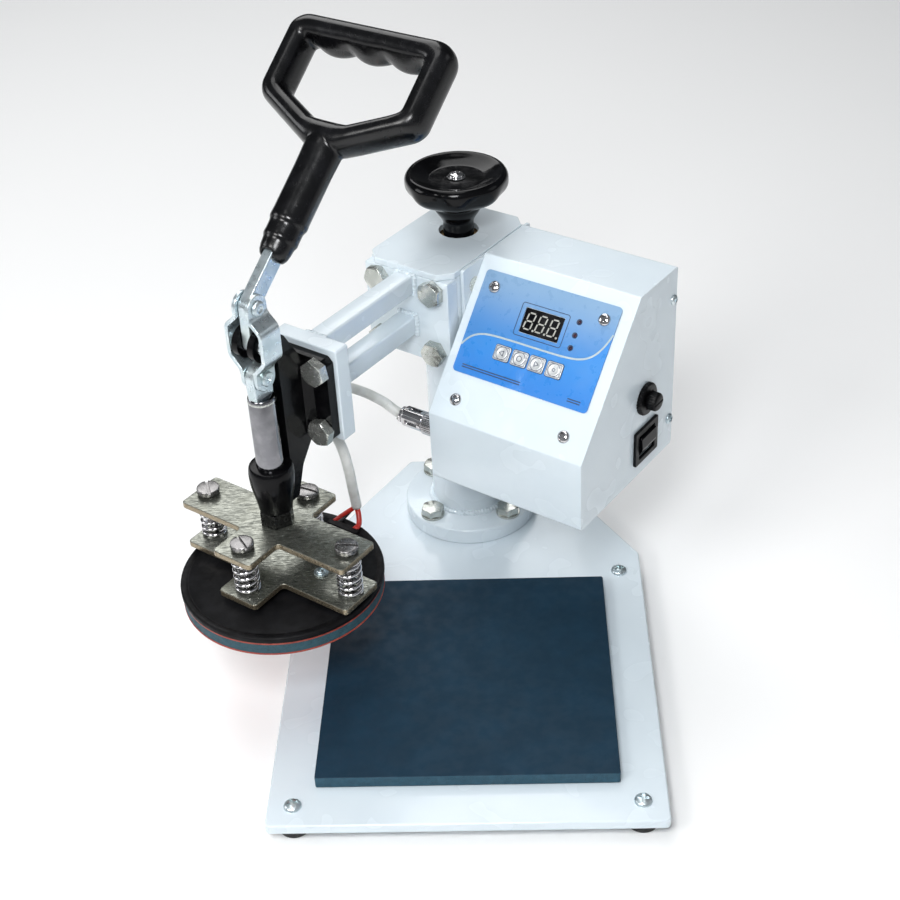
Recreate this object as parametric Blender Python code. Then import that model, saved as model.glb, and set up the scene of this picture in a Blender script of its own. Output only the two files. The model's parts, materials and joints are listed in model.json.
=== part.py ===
"""Swing-away plate heat press: a round heated platen on a toggle lever, carried by a head that swings
round a bolted post over a flat base with a silicone pad.

Lengths are in millimetres and become metres when a mesh is finished. The machine stands on z = 0 and
the post's axis is the machine frame's origin. Pieces of the swinging head are drawn square to the head,
in its own frame (x to the right of the arm, the arm along -y), and the head's empty turns them.
"""

import math

import bmesh
import bpy
from mathutils import Matrix, Vector

MM = 0.001
GAP = 0.3  # clearance between neighbouring pieces

# Where the post's axis stands, so that the whole machine's box is centred on the origin.
POST_X, POST_Y = 24.18, 148.5

# Base
BASE_HALF_WIDTH, BASE_FRONT, BASE_REAR = 140.0, -364.0, 67.0
BASE_CORNER_X, BASE_CORNER_Y = 84.0, 139.5
FOOT_HEIGHT, PLATE_THICKNESS = 12.0, 8.0
BASE_TOP = FOOT_HEIGHT + PLATE_THICKNESS
FRONT_FEET = {"front_left": (-122, -345.5), "front_right": (122, -345.5),
              "middle_left": (-122, -96), "middle_right": (122, -96)}
REAR_FEET = {"rear_left": (-48, 54), "rear_right": (48, 54)}
PAD_SIZE, PAD_THICKNESS, PAD_FRONT = 215.0, 10.0, -329.0

# Post
POST_RADIUS, POST_BORE, SPIGOT_RADIUS = 32.0, 22.0, 28.0
FLANGE_RADIUS, FLANGE_THICKNESS, POST_BOLT_OFFSET = 56.0, 14.0, 32.0
POST_SHOULDER, POST_TOP, NUT_BOTTOM = 222.0, 262.0, 236.0
FLANGE_TOP = BASE_TOP + FLANGE_THICKNESS

# Head
HEAD_ANGLE = math.radians(-34)
HOUSING_HALF, HOUSING_FRONT, HOUSING_REAR = 38.4, -57.6, 40.4
HOUSING_BOTTOM, HOUSING_TOP, TOP_PLATE = 211.0, 283.0, 5.0
ARM_REAR_THICKNESS, ARM_FRONT_THICKNESS = 13.0, 13.4
ARM_FRONT_FACE, ARM_FRONT_HALF = -190.4, 29.0
ARM_FRONT_BOTTOM, ARM_FRONT_TOP = 210.0, 284.6
BAR, BAR_TOPS = 16.0, (283.0, 248.0)
REAR_BOLTS = [(x, z) for z in (273, 221) for x in (-25, 25)]
FRONT_BOLTS = [(x, z) for z in (271, 221) for x in (-18, 18)]
M10_RADIUS, M10_FLATS, M10_HEAD = 5.0, 17.0, 6.4

# Toggle linkage: P0 joins lever and clamp, P1 lever and link, P2 link and plunger
PLUNGER_Y = -238.7
CRANK, LINK = 28.0, 54.4
P0_Z = 309.0
P1_Z = P0_Z + CRANK
P2_Z = P1_Z - LINK
LEAN = math.radians(49.7)
TONGUE_HALF = 4.0
EAR_INNER, EAR_OUTER = 4.3, 9.3
STRAP = 3.0
STRAP_WIDTH, STRAP_REACH = 19.0, 16.5
PIN_RADIUS, PIN_BORE = 4.0, 4.3
ROD_RADIUS, BARREL_TOP, BARREL_BOTTOM = 9.8, 209.0, 172.0

# Platen
PLATEN_Y = -241.0
CROSS_REACH_X, CROSS_REACH_Y, CROSS_ARM_X, CROSS_ARM_Y, CROSS_THICKNESS = 76.0, 49.5, 19.0, 17.5, 5.0
UPPER_CROSS_TOP, LOWER_CROSS_TOP = 158.8, 122.3
GUIDES = [(65.5, 0), (-65.5, 0), (0, 36.5), (0, -36.5)]
DISC_RADIUS, DISC_TOP, DISC_BOTTOM, PLATEN_BOTTOM = 75.5, 113.0, 108.3, 97.3

# Control box
BOX_LEFT, BOX_RIGHT, BOX_REAR, BOX_FRONT = 41.4, 175.5, 30.6, -106.0
BOX_BOTTOM, BOX_TOP, PANEL_LOW_Z, PANEL_HIGH_Y = 132.0, 289.0, 191.0, -24.0
WALL = 2.0
PANEL_TILT = math.atan2(BOX_TOP - PANEL_LOW_Z, PANEL_HIGH_Y - BOX_FRONT)
KEYS = {"down_key": 84.6, "set_key": 99.9, "up_key": 114.7, "mode_key": 129.9}
KEY_ALONG, KEY_WIDTH, KEY_HEIGHT = 59.5, 13.2, 11.3
WINDOW = (91.0, 124.5, 78.5, 98.0)
LED_X, LED_ALONG = 136.2, (98.2, 88.0, 78.3)
FUSE_Y, FUSE_Z = -14.0, 198.0
SWITCH_Y, SWITCH_Z, ROCKER_X = -13.0, 159.0, 173.0
SOCKET_Y, SOCKET_Z = -85.0, 163.0

# Heater cable, in the head's frame, from the socket round behind the arm's front plate to the platen
CABLE_RADIUS, CABLE_STEP = 4.0, 9.0
CABLE_ROUTE = [(-3.2, -85, 163), (-9, -85.2, 164.4), (-18, -87, 170), (-31, -97, 181), (-41, -116, 194),
               (-37, -140, 203), (-20, -159, 205), (-2, -168, 198), (9, -171, 184), (12.5, -170.5, 167), (12.2, -168, 150),
               (10.4, -164.5, 137), (9.2, -162, 126)]

COLOURS = {  # colour, roughness, metallic
    "white_paint": ((0.82, 0.86, 0.88), 0.3, 0.0),
    "black_casting": ((0.015, 0.015, 0.018), 0.35, 0.0),
    "black_plastic": ((0.01, 0.01, 0.011), 0.15, 0.0),
    "zinc": ((0.62, 0.66, 0.68), 0.3, 1.0),
    "chrome": ((0.75, 0.74, 0.76), 0.08, 1.0),
    "plated": ((0.5, 0.5, 0.42), 0.35, 1.0),
    "steel": ((0.55, 0.54, 0.52), 0.25, 1.0),
    "bronze": ((0.55, 0.36, 0.16), 0.4, 1.0),
    "black_disc": ((0.02, 0.02, 0.022), 0.6, 0.0),
    "silicone": ((0.03, 0.12, 0.14), 0.7, 0.0),
    "red_sheet": ((0.35, 0.05, 0.04), 0.6, 0.0),
    "rubber": ((0.02, 0.02, 0.02), 0.8, 0.0),
    "overlay": ((0.12, 0.32, 0.62), 0.4, 0.0),
    "display": ((0.02, 0.02, 0.02), 0.1, 0.0),
    "key_silver": ((0.6, 0.62, 0.64), 0.35, 0.6),
    "board": ((0.03, 0.2, 0.08), 0.5, 0.0),
    "cable": ((0.55, 0.56, 0.55), 0.5, 0.0),
}


# ---------------------------------------------------------------- outlines

def rectangle(x0, x1, y0, y1):
    return [(x0, y0), (x1, y0), (x1, y1), (x0, y1)]


def regular(radius, sides, centre=(0, 0), start=0.0):
    """Points of a regular polygon, or of a circle when it has many sides."""
    angles = [start + 2 * math.pi * i / sides for i in range(sides)]
    return [(centre[0] + radius * math.cos(a), centre[1] + radius * math.sin(a)) for a in angles]


def arc(centre, radius, first, last, steps):
    """Points on an arc, both ends included. Angles are in degrees."""
    angles = [math.radians(first + (last - first) * i / steps) for i in range(steps + 1)]
    return [(centre[0] + radius * math.cos(a), centre[1] + radius * math.sin(a)) for a in angles]


def rounded(corners, radius, steps=3):
    """An outline with each corner turned into an arc of this radius."""
    points = []
    for i, corner in enumerate(corners):
        here = Vector(corner)
        to_last = (Vector(corners[i - 1]) - here).normalized()
        to_next = (Vector(corners[(i + 1) % len(corners)]) - here).normalized()
        half = to_last.angle(to_next) / 2
        centre = here + (to_last + to_next).normalized() * radius / math.sin(half)
        first = here + to_last * radius / math.tan(half) - centre
        last = here + to_next * radius / math.tan(half) - centre
        turn = first.angle_signed(last)
        points += [tuple(centre + Matrix.Rotation(-turn * k / steps, 2) @ first) for k in range(steps + 1)]
    return points


def cross_outline():
    """A plus shape with rounded inner and outer corners."""
    x, y, ax, ay = CROSS_REACH_X, CROSS_REACH_Y, CROSS_ARM_X, CROSS_ARM_Y
    quarter = [(x, ax), (ay, ax), (ay, y)]
    corners = []
    for sx, sy, order in ((1, 1, 1), (-1, 1, -1), (-1, -1, 1), (1, -1, -1)):
        corners += [(sx * px, sy * py) for px, py in quarter[::order]]
    return rounded(corners, 4.0)


# ---------------------------------------------------------------- solids, in millimetres

def mesh_of(bm):
    """A mesh from this bmesh, its faces pointing out."""
    bmesh.ops.recalc_face_normals(bm, faces=bm.faces)
    mesh = bpy.data.meshes.new("solid")
    bm.to_mesh(mesh)
    bm.free()
    return mesh


def prism(outline, low, high, axis="Z"):
    """The outline extruded from low to high. Along Z it lies in XY, along X in YZ, and along Y in XZ."""
    def at(a, b, height):
        return {"Z": (a, b, height), "X": (height, a, b), "Y": (a, height, b)}[axis]
    bm = bmesh.new()
    face = bm.faces.new([bm.verts.new(at(a, b, low)) for a, b in outline])
    top = bmesh.ops.extrude_face_region(bm, geom=[face])["geom"]
    bmesh.ops.translate(bm, vec=at(0, 0, high - low), verts=[v for v in top if isinstance(v, bmesh.types.BMVert)])
    return mesh_of(bm)


def box(low, high):
    return prism(rectangle(low[0], high[0], low[1], high[1]), low[2], high[2])


def rod(radius, low, high, axis="Z", centre=(0, 0), sides=24):
    return prism(regular(radius, sides, centre), low, high, axis)


def turned(profile, axis="Z", centre=(0, 0), sides=32):
    """A closed (radius, height) profile turned round an axis; radius 0 is on the axis."""
    def at(radius, angle, height):
        a, b = centre[0] + radius * math.cos(angle), centre[1] + radius * math.sin(angle)
        return {"Z": (a, b, height), "X": (height, a, b), "Y": (a, height, b)}[axis]
    bm = bmesh.new()
    rings = []
    for radius, height in profile:
        count = sides if radius > 0 else 1
        rings.append([bm.verts.new(at(radius, 2 * math.pi * i / sides, height)) for i in range(count)])
    heights = [height for _, height in profile]
    for k, lower in enumerate(rings):
        upper = rings[(k + 1) % len(rings)]
        flat = heights[k] == heights[(k + 1) % len(rings)]
        if flat and 1 in (len(lower), len(upper)):
            bm.faces.new(max(lower, upper, key=len))
            continue
        for i in range(sides):
            j = (i + 1) % sides
            corners = [lower[i % len(lower)], lower[j % len(lower)], upper[j % len(upper)], upper[i % len(upper)]]
            corners = list(dict.fromkeys(corners))
            if len(corners) > 2:
                bm.faces.new(corners)
    bmesh.ops.delete(bm, geom=[v for v in bm.verts if not v.link_faces], context="VERTS")
    return mesh_of(bm)


def combined(operation, base, others):
    """The base mesh after a Boolean with each of the other meshes."""
    scene = bpy.context.scene.collection
    body = bpy.data.objects.new("body", base)
    scene.objects.link(body)
    helpers = []
    for other in others:
        helper = bpy.data.objects.new("helper", other)
        scene.objects.link(helper)
        modifier = body.modifiers.new("combine", "BOOLEAN")
        modifier.operation = operation
        modifier.solver = "EXACT"
        modifier.object = helper
        helpers.append(helper)
    bpy.context.view_layer.update()
    result = bpy.data.meshes.new_from_object(body.evaluated_get(bpy.context.evaluated_depsgraph_get()))
    for obj in (body, *helpers):
        bpy.data.objects.remove(obj, do_unlink=True)
    return result


def cut(base, *others):
    return combined("DIFFERENCE", base, others)


def joined(base, *others):
    return combined("UNION", base, others)


def bevelled(mesh, width, segments=1, sharper_than=40):
    """The mesh with its sharp edges rounded over."""
    bm = bmesh.new()
    bm.from_mesh(mesh)
    limit = math.radians(sharper_than)
    edges = [e for e in bm.edges if e.calc_face_angle(0) > limit]
    bmesh.ops.bevel(bm, geom=edges, offset=width, segments=segments, profile=0.5, affect="EDGES")
    return mesh_of(bm)


def moved(mesh, matrix):
    mesh.transform(matrix)
    return mesh


def loft(sections):
    """A closed ring of equal sections, joined each to the next and the last to the first."""
    bm = bmesh.new()
    rings = [[bm.verts.new(point) for point in section] for section in sections]
    for ring, following in zip(rings, rings[1:] + rings[:1]):
        for i in range(len(ring)):
            j = (i + 1) % len(ring)
            bm.faces.new([ring[i], ring[j], following[j], following[i]])
    return mesh_of(bm)


def coil(radius, wire, low, high, turns, steps=10, sides=5):
    """A helical spring round Z whose ends rest at low and high."""
    bm = bmesh.new()
    count = int(turns * steps)
    rings = []
    for i in range(count + 1):
        angle = 2 * math.pi * i / steps
        centre = Vector((radius * math.cos(angle), radius * math.sin(angle), 0))
        centre.z = low + wire + (high - low - 2 * wire) * i / count
        outward = Vector((math.cos(angle), math.sin(angle), 0))
        ring = []
        for k in range(sides):
            turn = 2 * math.pi * k / sides
            offset = outward * math.cos(turn) + Vector((0, 0, 1)) * math.sin(turn)
            ring.append(bm.verts.new(centre + wire * offset))
        rings.append(ring)
    for ring, following in zip(rings, rings[1:]):
        for k in range(sides):
            j = (k + 1) % sides
            bm.faces.new([ring[k], ring[j], following[j], following[k]])
    bm.faces.new(rings[0])
    bm.faces.new(rings[-1])
    return mesh_of(bm)


# ---------------------------------------------------------------- scene

def clear_scene():
    for obj in list(bpy.data.objects):
        bpy.data.objects.remove(obj, do_unlink=True)


def material(name):
    found = bpy.data.materials.get(name)
    if found:
        return found
    colour, roughness, metallic = COLOURS[name]
    made = bpy.data.materials.new(name)
    made.use_nodes = True
    shader = made.node_tree.nodes["Principled BSDF"]
    shader.inputs["Base Color"].default_value = (*colour, 1)
    shader.inputs["Roughness"].default_value = roughness
    shader.inputs["Metallic"].default_value = metallic
    made.diffuse_color = (*colour, 1)
    return made


def empty(name, parent=None, at=(0, 0, 0), turn=(0, 0, 0)):
    """A frame for a body, on its joint's axis."""
    obj = bpy.data.objects.new(name, None)
    bpy.context.scene.collection.objects.link(obj)
    obj.parent = parent
    obj.location = Vector(at) * MM
    obj.rotation_euler = turn
    return obj


def finished(mesh):
    """The mesh in metres, shaded smooth over its round stretches."""
    mesh.transform(Matrix.Scale(MM, 4))
    mesh.shade_smooth()
    mesh.set_sharp_from_angle(angle=math.radians(35))
    return mesh


def piece(name, mesh, look, parent, at=(0, 0, 0)):
    """One named sub-part. The mesh is a finished one."""
    obj = bpy.data.objects.new(name, mesh)
    bpy.context.scene.collection.objects.link(obj)
    obj.parent = parent
    obj.location = Vector(at) * MM
    if not mesh.materials:
        mesh.materials.append(material(look))
    return obj


# ---------------------------------------------------------------- base and post

def make_base(machine):
    half, corner = BASE_HALF_WIDTH, BASE_HALF_WIDTH - BASE_CORNER_X
    side_end = BASE_REAR - BASE_CORNER_Y
    outline = [(-half, BASE_FRONT), (half, BASE_FRONT), (half, side_end), (corner, BASE_REAR),
               (-corner, BASE_REAR), (-half, side_end)]
    plate = bevelled(prism(rounded(outline, 4.0, 2), FOOT_HEIGHT, BASE_TOP), 1.2)
    holes = [rod(3.3, 0, 30, centre=spot, sides=10) for spot in FRONT_FEET.values()]
    holes += [rod(3.3, 0, BASE_TOP - 1.5, centre=spot, sides=10) for spot in REAR_FEET.values()]
    offset = POST_BOLT_OFFSET
    holes += [rod(5.4, 0, 30, centre=(x, y), sides=16) for x in (-offset, offset) for y in (-offset, offset)]
    piece("base_plate", finished(cut(plate, *holes)), "white_paint", machine)

    rubber = [(0, 0), (11, 0), (12, 1), (12, FOOT_HEIGHT - GAP), (3, FOOT_HEIGHT - GAP)]
    dome = [(3, BASE_TOP + GAP), (6.5, BASE_TOP + GAP), (6, 22.3), (3.5, 23.8), (0, 24.3)]
    with_screw = finished(turned(rubber + dome, sides=14))
    with_stud = finished(turned(rubber + [(3, BASE_TOP - 2), (0, BASE_TOP - 2)], sides=14))
    for mesh, spots in ((with_screw, FRONT_FEET), (with_stud, REAR_FEET)):
        for place, (x, y) in spots.items():
            piece("foot_" + place, mesh, "rubber", machine, at=(x, y, 0))

    half = PAD_SIZE / 2
    rear = PAD_FRONT + PAD_SIZE
    pad = prism(rounded(rectangle(-half, half, PAD_FRONT, rear), 1.5, 1), BASE_TOP + GAP, BASE_TOP + PAD_THICKNESS)
    piece("silicone_pad", finished(pad), "silicone", machine)


def make_post(machine):
    """A flanged tube with a spigot on top and a nut welded into it for the height screw."""
    low = BASE_TOP + GAP
    profile = [(POST_BORE, low), (FLANGE_RADIUS - 0.5, low), (FLANGE_RADIUS, low + 0.5),
               (FLANGE_RADIUS, FLANGE_TOP - 1), (FLANGE_RADIUS - 1, FLANGE_TOP), (35, FLANGE_TOP),
               (POST_RADIUS, FLANGE_TOP + 3.5), (POST_RADIUS, POST_SHOULDER), (SPIGOT_RADIUS, POST_SHOULDER),
               (SPIGOT_RADIUS, POST_TOP), (7.4, POST_TOP), (7.4, NUT_BOTTOM), (POST_BORE, NUT_BOTTOM)]
    offset = POST_BOLT_OFFSET
    spots = [(x, y) for x in (-offset, offset) for y in (-offset, offset)]
    post = cut(turned(profile, sides=36), *[rod(5.4, 0, 60, centre=spot, sides=12) for spot in spots])
    piece("post", finished(post), "white_paint", machine)

    bolt = finished(make_through_bolt())
    for name, spot in zip(("front_left", "rear_left", "front_right", "rear_right"), spots):
        piece("post_bolt_" + name, bolt, "steel", machine, at=(*spot, 0))


def make_through_bolt():
    """A hexagon bolt with its washer on the flange and its nut under the base plate."""
    hexagon = regular(M10_FLATS / math.sqrt(3), 6, start=math.radians(20))
    seat = FLANGE_TOP + GAP
    head = prism(hexagon, seat + 1.8, seat + 2 + M10_HEAD)
    nut = prism(hexagon, 3.7, FOOT_HEIGHT - GAP)
    washer = rod(10, seat, seat + 2, sides=20)
    return joined(rod(M10_RADIUS, 2.2, seat + 4, sides=16), washer, head, nut)


# ---------------------------------------------------------------- height adjustment

def make_height_screw(lift, knob):
    bearing = [(9, 276.3), (21, 276.3), (21, HOUSING_TOP - GAP), (9, HOUSING_TOP - GAP)]
    piece("thrust_bearing", finished(turned(bearing)), "bronze", lift)

    screw = [(0, 216), (6, 216), (7, 217), (7, 272), (14, 272), (14, 276), (8, 276), (8, 322), (3.3, 322),
             (3.3, 306), (0, 306)]
    piece("height_screw", finished(turned(screw, sides=24)), "steel", knob)

    hub_bottom, rim, brim = 284.5, 337.0, 40.0
    skirt = [(8.4, hub_bottom), (12, hub_bottom), (12, 294), (18, 303), (21, 309), (35, 314), (38.8, 318)]
    dish = [(brim, 322), (brim, 329), (39, 333.5), (36, rim), (33, 336.3), (22, 331.8), (3.3, 331.8), (3.3, 322.4),
            (8.4, 322.4)]
    knob_body = turned(skirt + dish)
    flutes = [rod(9, 305, 329.5, centre=spot, sides=12) for spot in regular(brim + 6, 8)]
    piece("height_knob", finished(cut(knob_body, *flutes)), "black_plastic", knob)

    cap = [(0, 310), (3, 310), (3, 332.1), (6, 332.1), (6, 332.9), (5.2, 333.2), (4.6, 334.6), (2.5, 335.6),
           (0, 335.8)]
    piece("knob_screw", finished(turned(cap, sides=20)), "chrome", knob)


# ---------------------------------------------------------------- head and arm

def blind_holes(spots, low, high):
    return [rod(5.3, low, high, "Y", spot, 12) for spot in spots]


def make_head(head):
    half = HOUSING_HALF
    outline = rounded(rectangle(-half, half, HOUSING_FRONT, HOUSING_REAR), 3.0, 2)
    housing = prism(outline, HOUSING_BOTTOM, HOUSING_TOP - GAP)
    housing = cut(housing, rod(POST_RADIUS + 0.6, 200, 300, sides=36),
                  *blind_holes(REAR_BOLTS, HOUSING_FRONT - 5, HOUSING_FRONT + 14))
    piece("head_housing", finished(housing), "white_paint", head)

    bush = [(28.3, 234), (32.3, 234), (32.3, 264), (28.3, 264)]
    piece("post_bush", finished(turned(bush, sides=36)), "bronze", head)

    front, chamfer = HOUSING_FRONT - ARM_REAR_THICKNESS, 10.0
    corners = [(-half + chamfer, front), (half - chamfer, front), (half, front + chamfer),
               (half, HOUSING_REAR - chamfer), (half - chamfer, HOUSING_REAR), (-half + chamfer, HOUSING_REAR),
               (-half, HOUSING_REAR - chamfer), (-half, front + chamfer)]
    plate = prism(corners, HOUSING_TOP, HOUSING_TOP + TOP_PLATE)
    piece("head_top_plate", finished(cut(plate, rod(15.4, 270, 300, sides=32))), "white_paint", head)

    make_arm(head, front)
    rear_bolt = make_hex_bolt(22)
    for name, (x, z) in zip(("upper_left", "upper_right", "lower_left", "lower_right"), REAR_BOLTS):
        piece("arm_bolt_" + name, rear_bolt, "steel", head, at=(x, front, z))


def make_arm(head, front):
    """Two square bars welded between the rear and the front plates."""
    half = HOUSING_HALF
    rear_plate = box((-half, front, HOUSING_BOTTOM), (half, HOUSING_FRONT - GAP, HOUSING_TOP - GAP))
    front_plate = box((-ARM_FRONT_HALF, ARM_FRONT_FACE, ARM_FRONT_BOTTOM),
                      (ARM_FRONT_HALF, ARM_FRONT_FACE + ARM_FRONT_THICKNESS, ARM_FRONT_TOP))
    start, end = ARM_FRONT_FACE + ARM_FRONT_THICKNESS - 1, front + 1
    bars = [box((-BAR / 2, start, top - BAR), (BAR / 2, end, top)) for top in BAR_TOPS]
    arm = joined(bevelled(rear_plate, 0.8), bevelled(front_plate, 0.8), *[bevelled(bar, 1.5) for bar in bars])
    holes = blind_holes(REAR_BOLTS, front - 5, HOUSING_FRONT + 5)
    holes += blind_holes(FRONT_BOLTS, ARM_FRONT_FACE - 5, ARM_FRONT_FACE + 11)
    piece("press_arm", finished(cut(arm, *holes)), "white_paint", head)


def make_hex_bolt(length):
    """A hexagon bolt pointing along +Y, its head against the plane y = 0."""
    hexagon = regular(M10_FLATS / math.sqrt(3), 6, start=math.radians(10))
    head = prism(hexagon, -GAP - M10_HEAD, -GAP, "Y")
    return finished(joined(head, rod(M10_RADIUS, -1, length, "Y", sides=16)))


def make_clamp(head):
    """The black casting: a bolted flange, a web, the fork for P0 and the plunger's barrel."""
    face = ARM_FRONT_FACE - GAP
    half = 26.0
    lower = [(-half, 216), (-half + 4, 212), (-14, 212), (-7, 219), (7, 219), (14, 212), (half - 4, 212), (half, 216)]
    flange = prism(lower + [(half, 276), (half - 4, 280), (-half + 4, 280), (-half, 276)], face - 8, face, "Y")
    throat, back = PLUNGER_Y + 12.5, PLUNGER_Y + 21.0
    web = prism([(face - 4, 217), (face - 4, 273), (face - 12, 280), (back, P0_Z - 3), (throat, P0_Z + 4),
                 (throat, BARREL_TOP - 4), (throat - 4, BARREL_BOTTOM + 1), (throat + 5, BARREL_BOTTOM + 1),
                 (throat + 13, 196), (face - 12, 210)], -8, 8, "X")
    ear = arc((PLUNGER_Y, P0_Z), 12, 60, 270, 10) + [(throat + 2, P0_Z - 12), (throat + 2, P0_Z + 4)]
    ears = [prism(ear, low, high, "X") for low, high in ((EAR_INNER, EAR_OUTER), (-EAR_OUTER, -EAR_INNER))]
    barrel = turned([(0, BARREL_BOTTOM), (12, BARREL_BOTTOM), (13, 180), (16.3, 200), (16.3, 207.5),
                     (15, BARREL_TOP), (0, BARREL_TOP)], centre=(0, PLUNGER_Y), sides=24)
    casting = joined(flange, web, barrel, *ears)
    holes = [rod(5.3, face - 20, face + 5, "Y", spot, 12) for spot in FRONT_BOLTS]
    casting = cut(casting, rod(ROD_RADIUS + GAP, 160, 220, centre=(0, PLUNGER_Y), sides=24),
                  rod(PIN_BORE, -15, 15, "X", (PLUNGER_Y, P0_Z), 16), *holes)
    piece("clamp_body", finished(casting), "black_casting", head)

    bolt = make_hex_bolt(17)
    for name, (x, z) in zip(("upper_left", "upper_right", "lower_left", "lower_right"), FRONT_BOLTS):
        piece("clamp_bolt_" + name, bolt, "steel", head, at=(x, face - 8, z))
    piece("lever_pivot_pin", make_pin(EAR_OUTER + GAP, 7), "zinc", head, at=(0, PLUNGER_Y, P0_Z))


def make_pin(reach, head_radius):
    """A riveted pin along X whose heads start at this distance from the middle."""
    end = reach + 2.4
    half = [(0, end), (head_radius - 1.5, end), (head_radius, end - 1), (head_radius, reach), (PIN_RADIUS, reach)]
    profile = [(radius, -height) for radius, height in half] + half[::-1]
    return finished(turned(profile, "X", sides=14))


# ---------------------------------------------------------------- toggle linkage

def make_lever(handle):
    """A flat bar from P0 past P1 into the black D-handle. P0 is the handle frame's origin."""
    half = 7.0
    lean = Vector((math.sin(LEAN), math.cos(LEAN)))
    side = Vector((lean.y, -lean.x))
    p1 = Vector((0, CRANK))
    shoulder, tang_end, tang_half = 33.5, 76.0, 5.5
    mitre = half * math.tan(LEAN / 2)
    outline = arc((0, 0), half, 180, 360, 8) + [(half, CRANK - mitre)]
    outline += [tuple(p1 + lean * along + side * across) for along, across in
                ((shoulder, half), (shoulder, tang_half), (tang_end, tang_half), (tang_end, -tang_half),
                 (shoulder, -tang_half), (shoulder, -half))]
    outline += [tuple(p1 + point) for point in
                (Vector(p) for p in arc((0, 0), half, 180 - math.degrees(LEAN), 180, 3))]
    bar = bevelled(prism(outline, -TONGUE_HALF, TONGUE_HALF, "X"), 0.6, sharper_than=60)
    bar = cut(bar, rod(PIN_BORE, -10, 10, "X", sides=16), rod(PIN_BORE, -10, 10, "X", (0, CRANK), 16))
    piece("lever_bar", finished(bar), "zinc", handle)

    grip_frame = empty("grip_frame", handle, (0, 0, CRANK), (-LEAN, 0, 0))
    make_grip(grip_frame, shoulder + GAP, tang_end + GAP, tang_half + GAP)


def reach(polygon, centre, angle):
    """How far from the centre the polygon lies in this direction."""
    direction = Vector((math.cos(angle), math.sin(angle)))
    best = 0.0
    for start, end in zip(polygon, polygon[1:] + polygon[:1]):
        edge = Vector(end) - Vector(start)
        offset = Vector(start) - Vector(centre)
        across = direction.cross(edge)
        if abs(across) < 1e-9:
            continue
        distance = offset.cross(edge) / across
        fraction = offset.cross(direction) / across
        if distance > 0 and -1e-6 <= fraction <= 1 + 1e-6:
            best = max(best, distance)
    return best


def make_grip(frame, low, slot_end, slot_half):
    """The D-handle: a stem along +Z with a collar, and a ring to hold across X."""
    middle = (0.0, 161.0)
    outer = rounded([(-13, 116), (13, 116), (68, 143), (68, 208.5), (-68, 208.5), (-68, 143)], 12.0)
    inner = rounded([(-15, 136), (15, 136), (50, 152), (50, 188), (-50, 188), (-50, 152)], 4.0)
    stations, sides, thickness = 48, 8, 12.0
    sections = []
    for i in range(stations):
        angle = 2 * math.pi * (i + 0.5) / stations
        far, near = reach(outer, middle, angle), reach(inner, middle, angle)
        section = []
        for k in range(sides):
            turn = 2 * math.pi * (k + 0.5) / sides
            squash = 1 / max(abs(math.cos(turn)), abs(math.sin(turn))) ** 0.6
            radius = (far + near) / 2 + (far - near) / 2 * squash * math.cos(turn)
            depth = thickness * squash * math.sin(turn) * 0.92
            section.append((middle[0] + radius * math.cos(angle), depth, middle[1] + radius * math.sin(angle)))
        sections.append(section)
    stem = turned([(0, low), (9, low), (11, 41), (11.4, 47), (12.3, 48.5), (12.3, 59), (13.6, 61), (13.3, 100),
                   (13.8, 124), (0, 124)], sides=24)
    grip = joined(loft(sections), stem)
    slot = box((-TONGUE_HALF - GAP, -slot_half, low - 5), (TONGUE_HALF + GAP, slot_half, slot_end))
    piece("handle_grip", finished(cut(grip, slot)), "black_plastic", frame)


def strap_outline(side):
    """One link strap seen from the front, relative to P1: an ear, a bulge round the fork, an ear."""
    inner = [(EAR_INNER, 9.5), (EAR_INNER, -7), (STRAP_REACH - STRAP, -15.5), (STRAP_REACH - STRAP, -36.5),
             (EAR_INNER, 8 - LINK), (EAR_INNER, -9.5 - LINK)]
    outer = [(EAR_INNER + STRAP, 9.5), (EAR_INNER + STRAP, -5.5), (STRAP_REACH, -14), (STRAP_REACH, -38),
             (EAR_INNER + STRAP, 6.5 - LINK), (EAR_INNER + STRAP, -9.5 - LINK)]
    return [(side * x, z) for x, z in inner + outer[::-1]]


def make_link(link):
    """Two bent straps between P1 and P2, their ears rounded, on one pin at P1 and riveted studs at P2."""
    half = STRAP_WIDTH / 2
    side_view = arc((0, 0), half, 0, 180, 8) + arc((0, -LINK), half, 180, 360, 8)
    for name, side in (("left", -1), ("right", 1)):
        front_view = prism(strap_outline(side), -half - 5, half + 5, "Y")
        strap = combined("INTERSECT", front_view, [prism(side_view, -30, 30, "X")])
        face = side * (EAR_INNER + STRAP)
        head = rod(5.5, min(face - side, face + side * 2.4), max(face - side, face + side * 2.4), "X", (0, -LINK), 16)
        strap = cut(joined(strap, head), rod(PIN_BORE, -15, 15, "X", sides=16))
        piece("link_strap_" + name, finished(strap), "zinc", link)
    piece("link_pin", make_pin(EAR_INNER + STRAP + GAP, 5.6), "zinc", link)


# ---------------------------------------------------------------- plunger and platen

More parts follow.
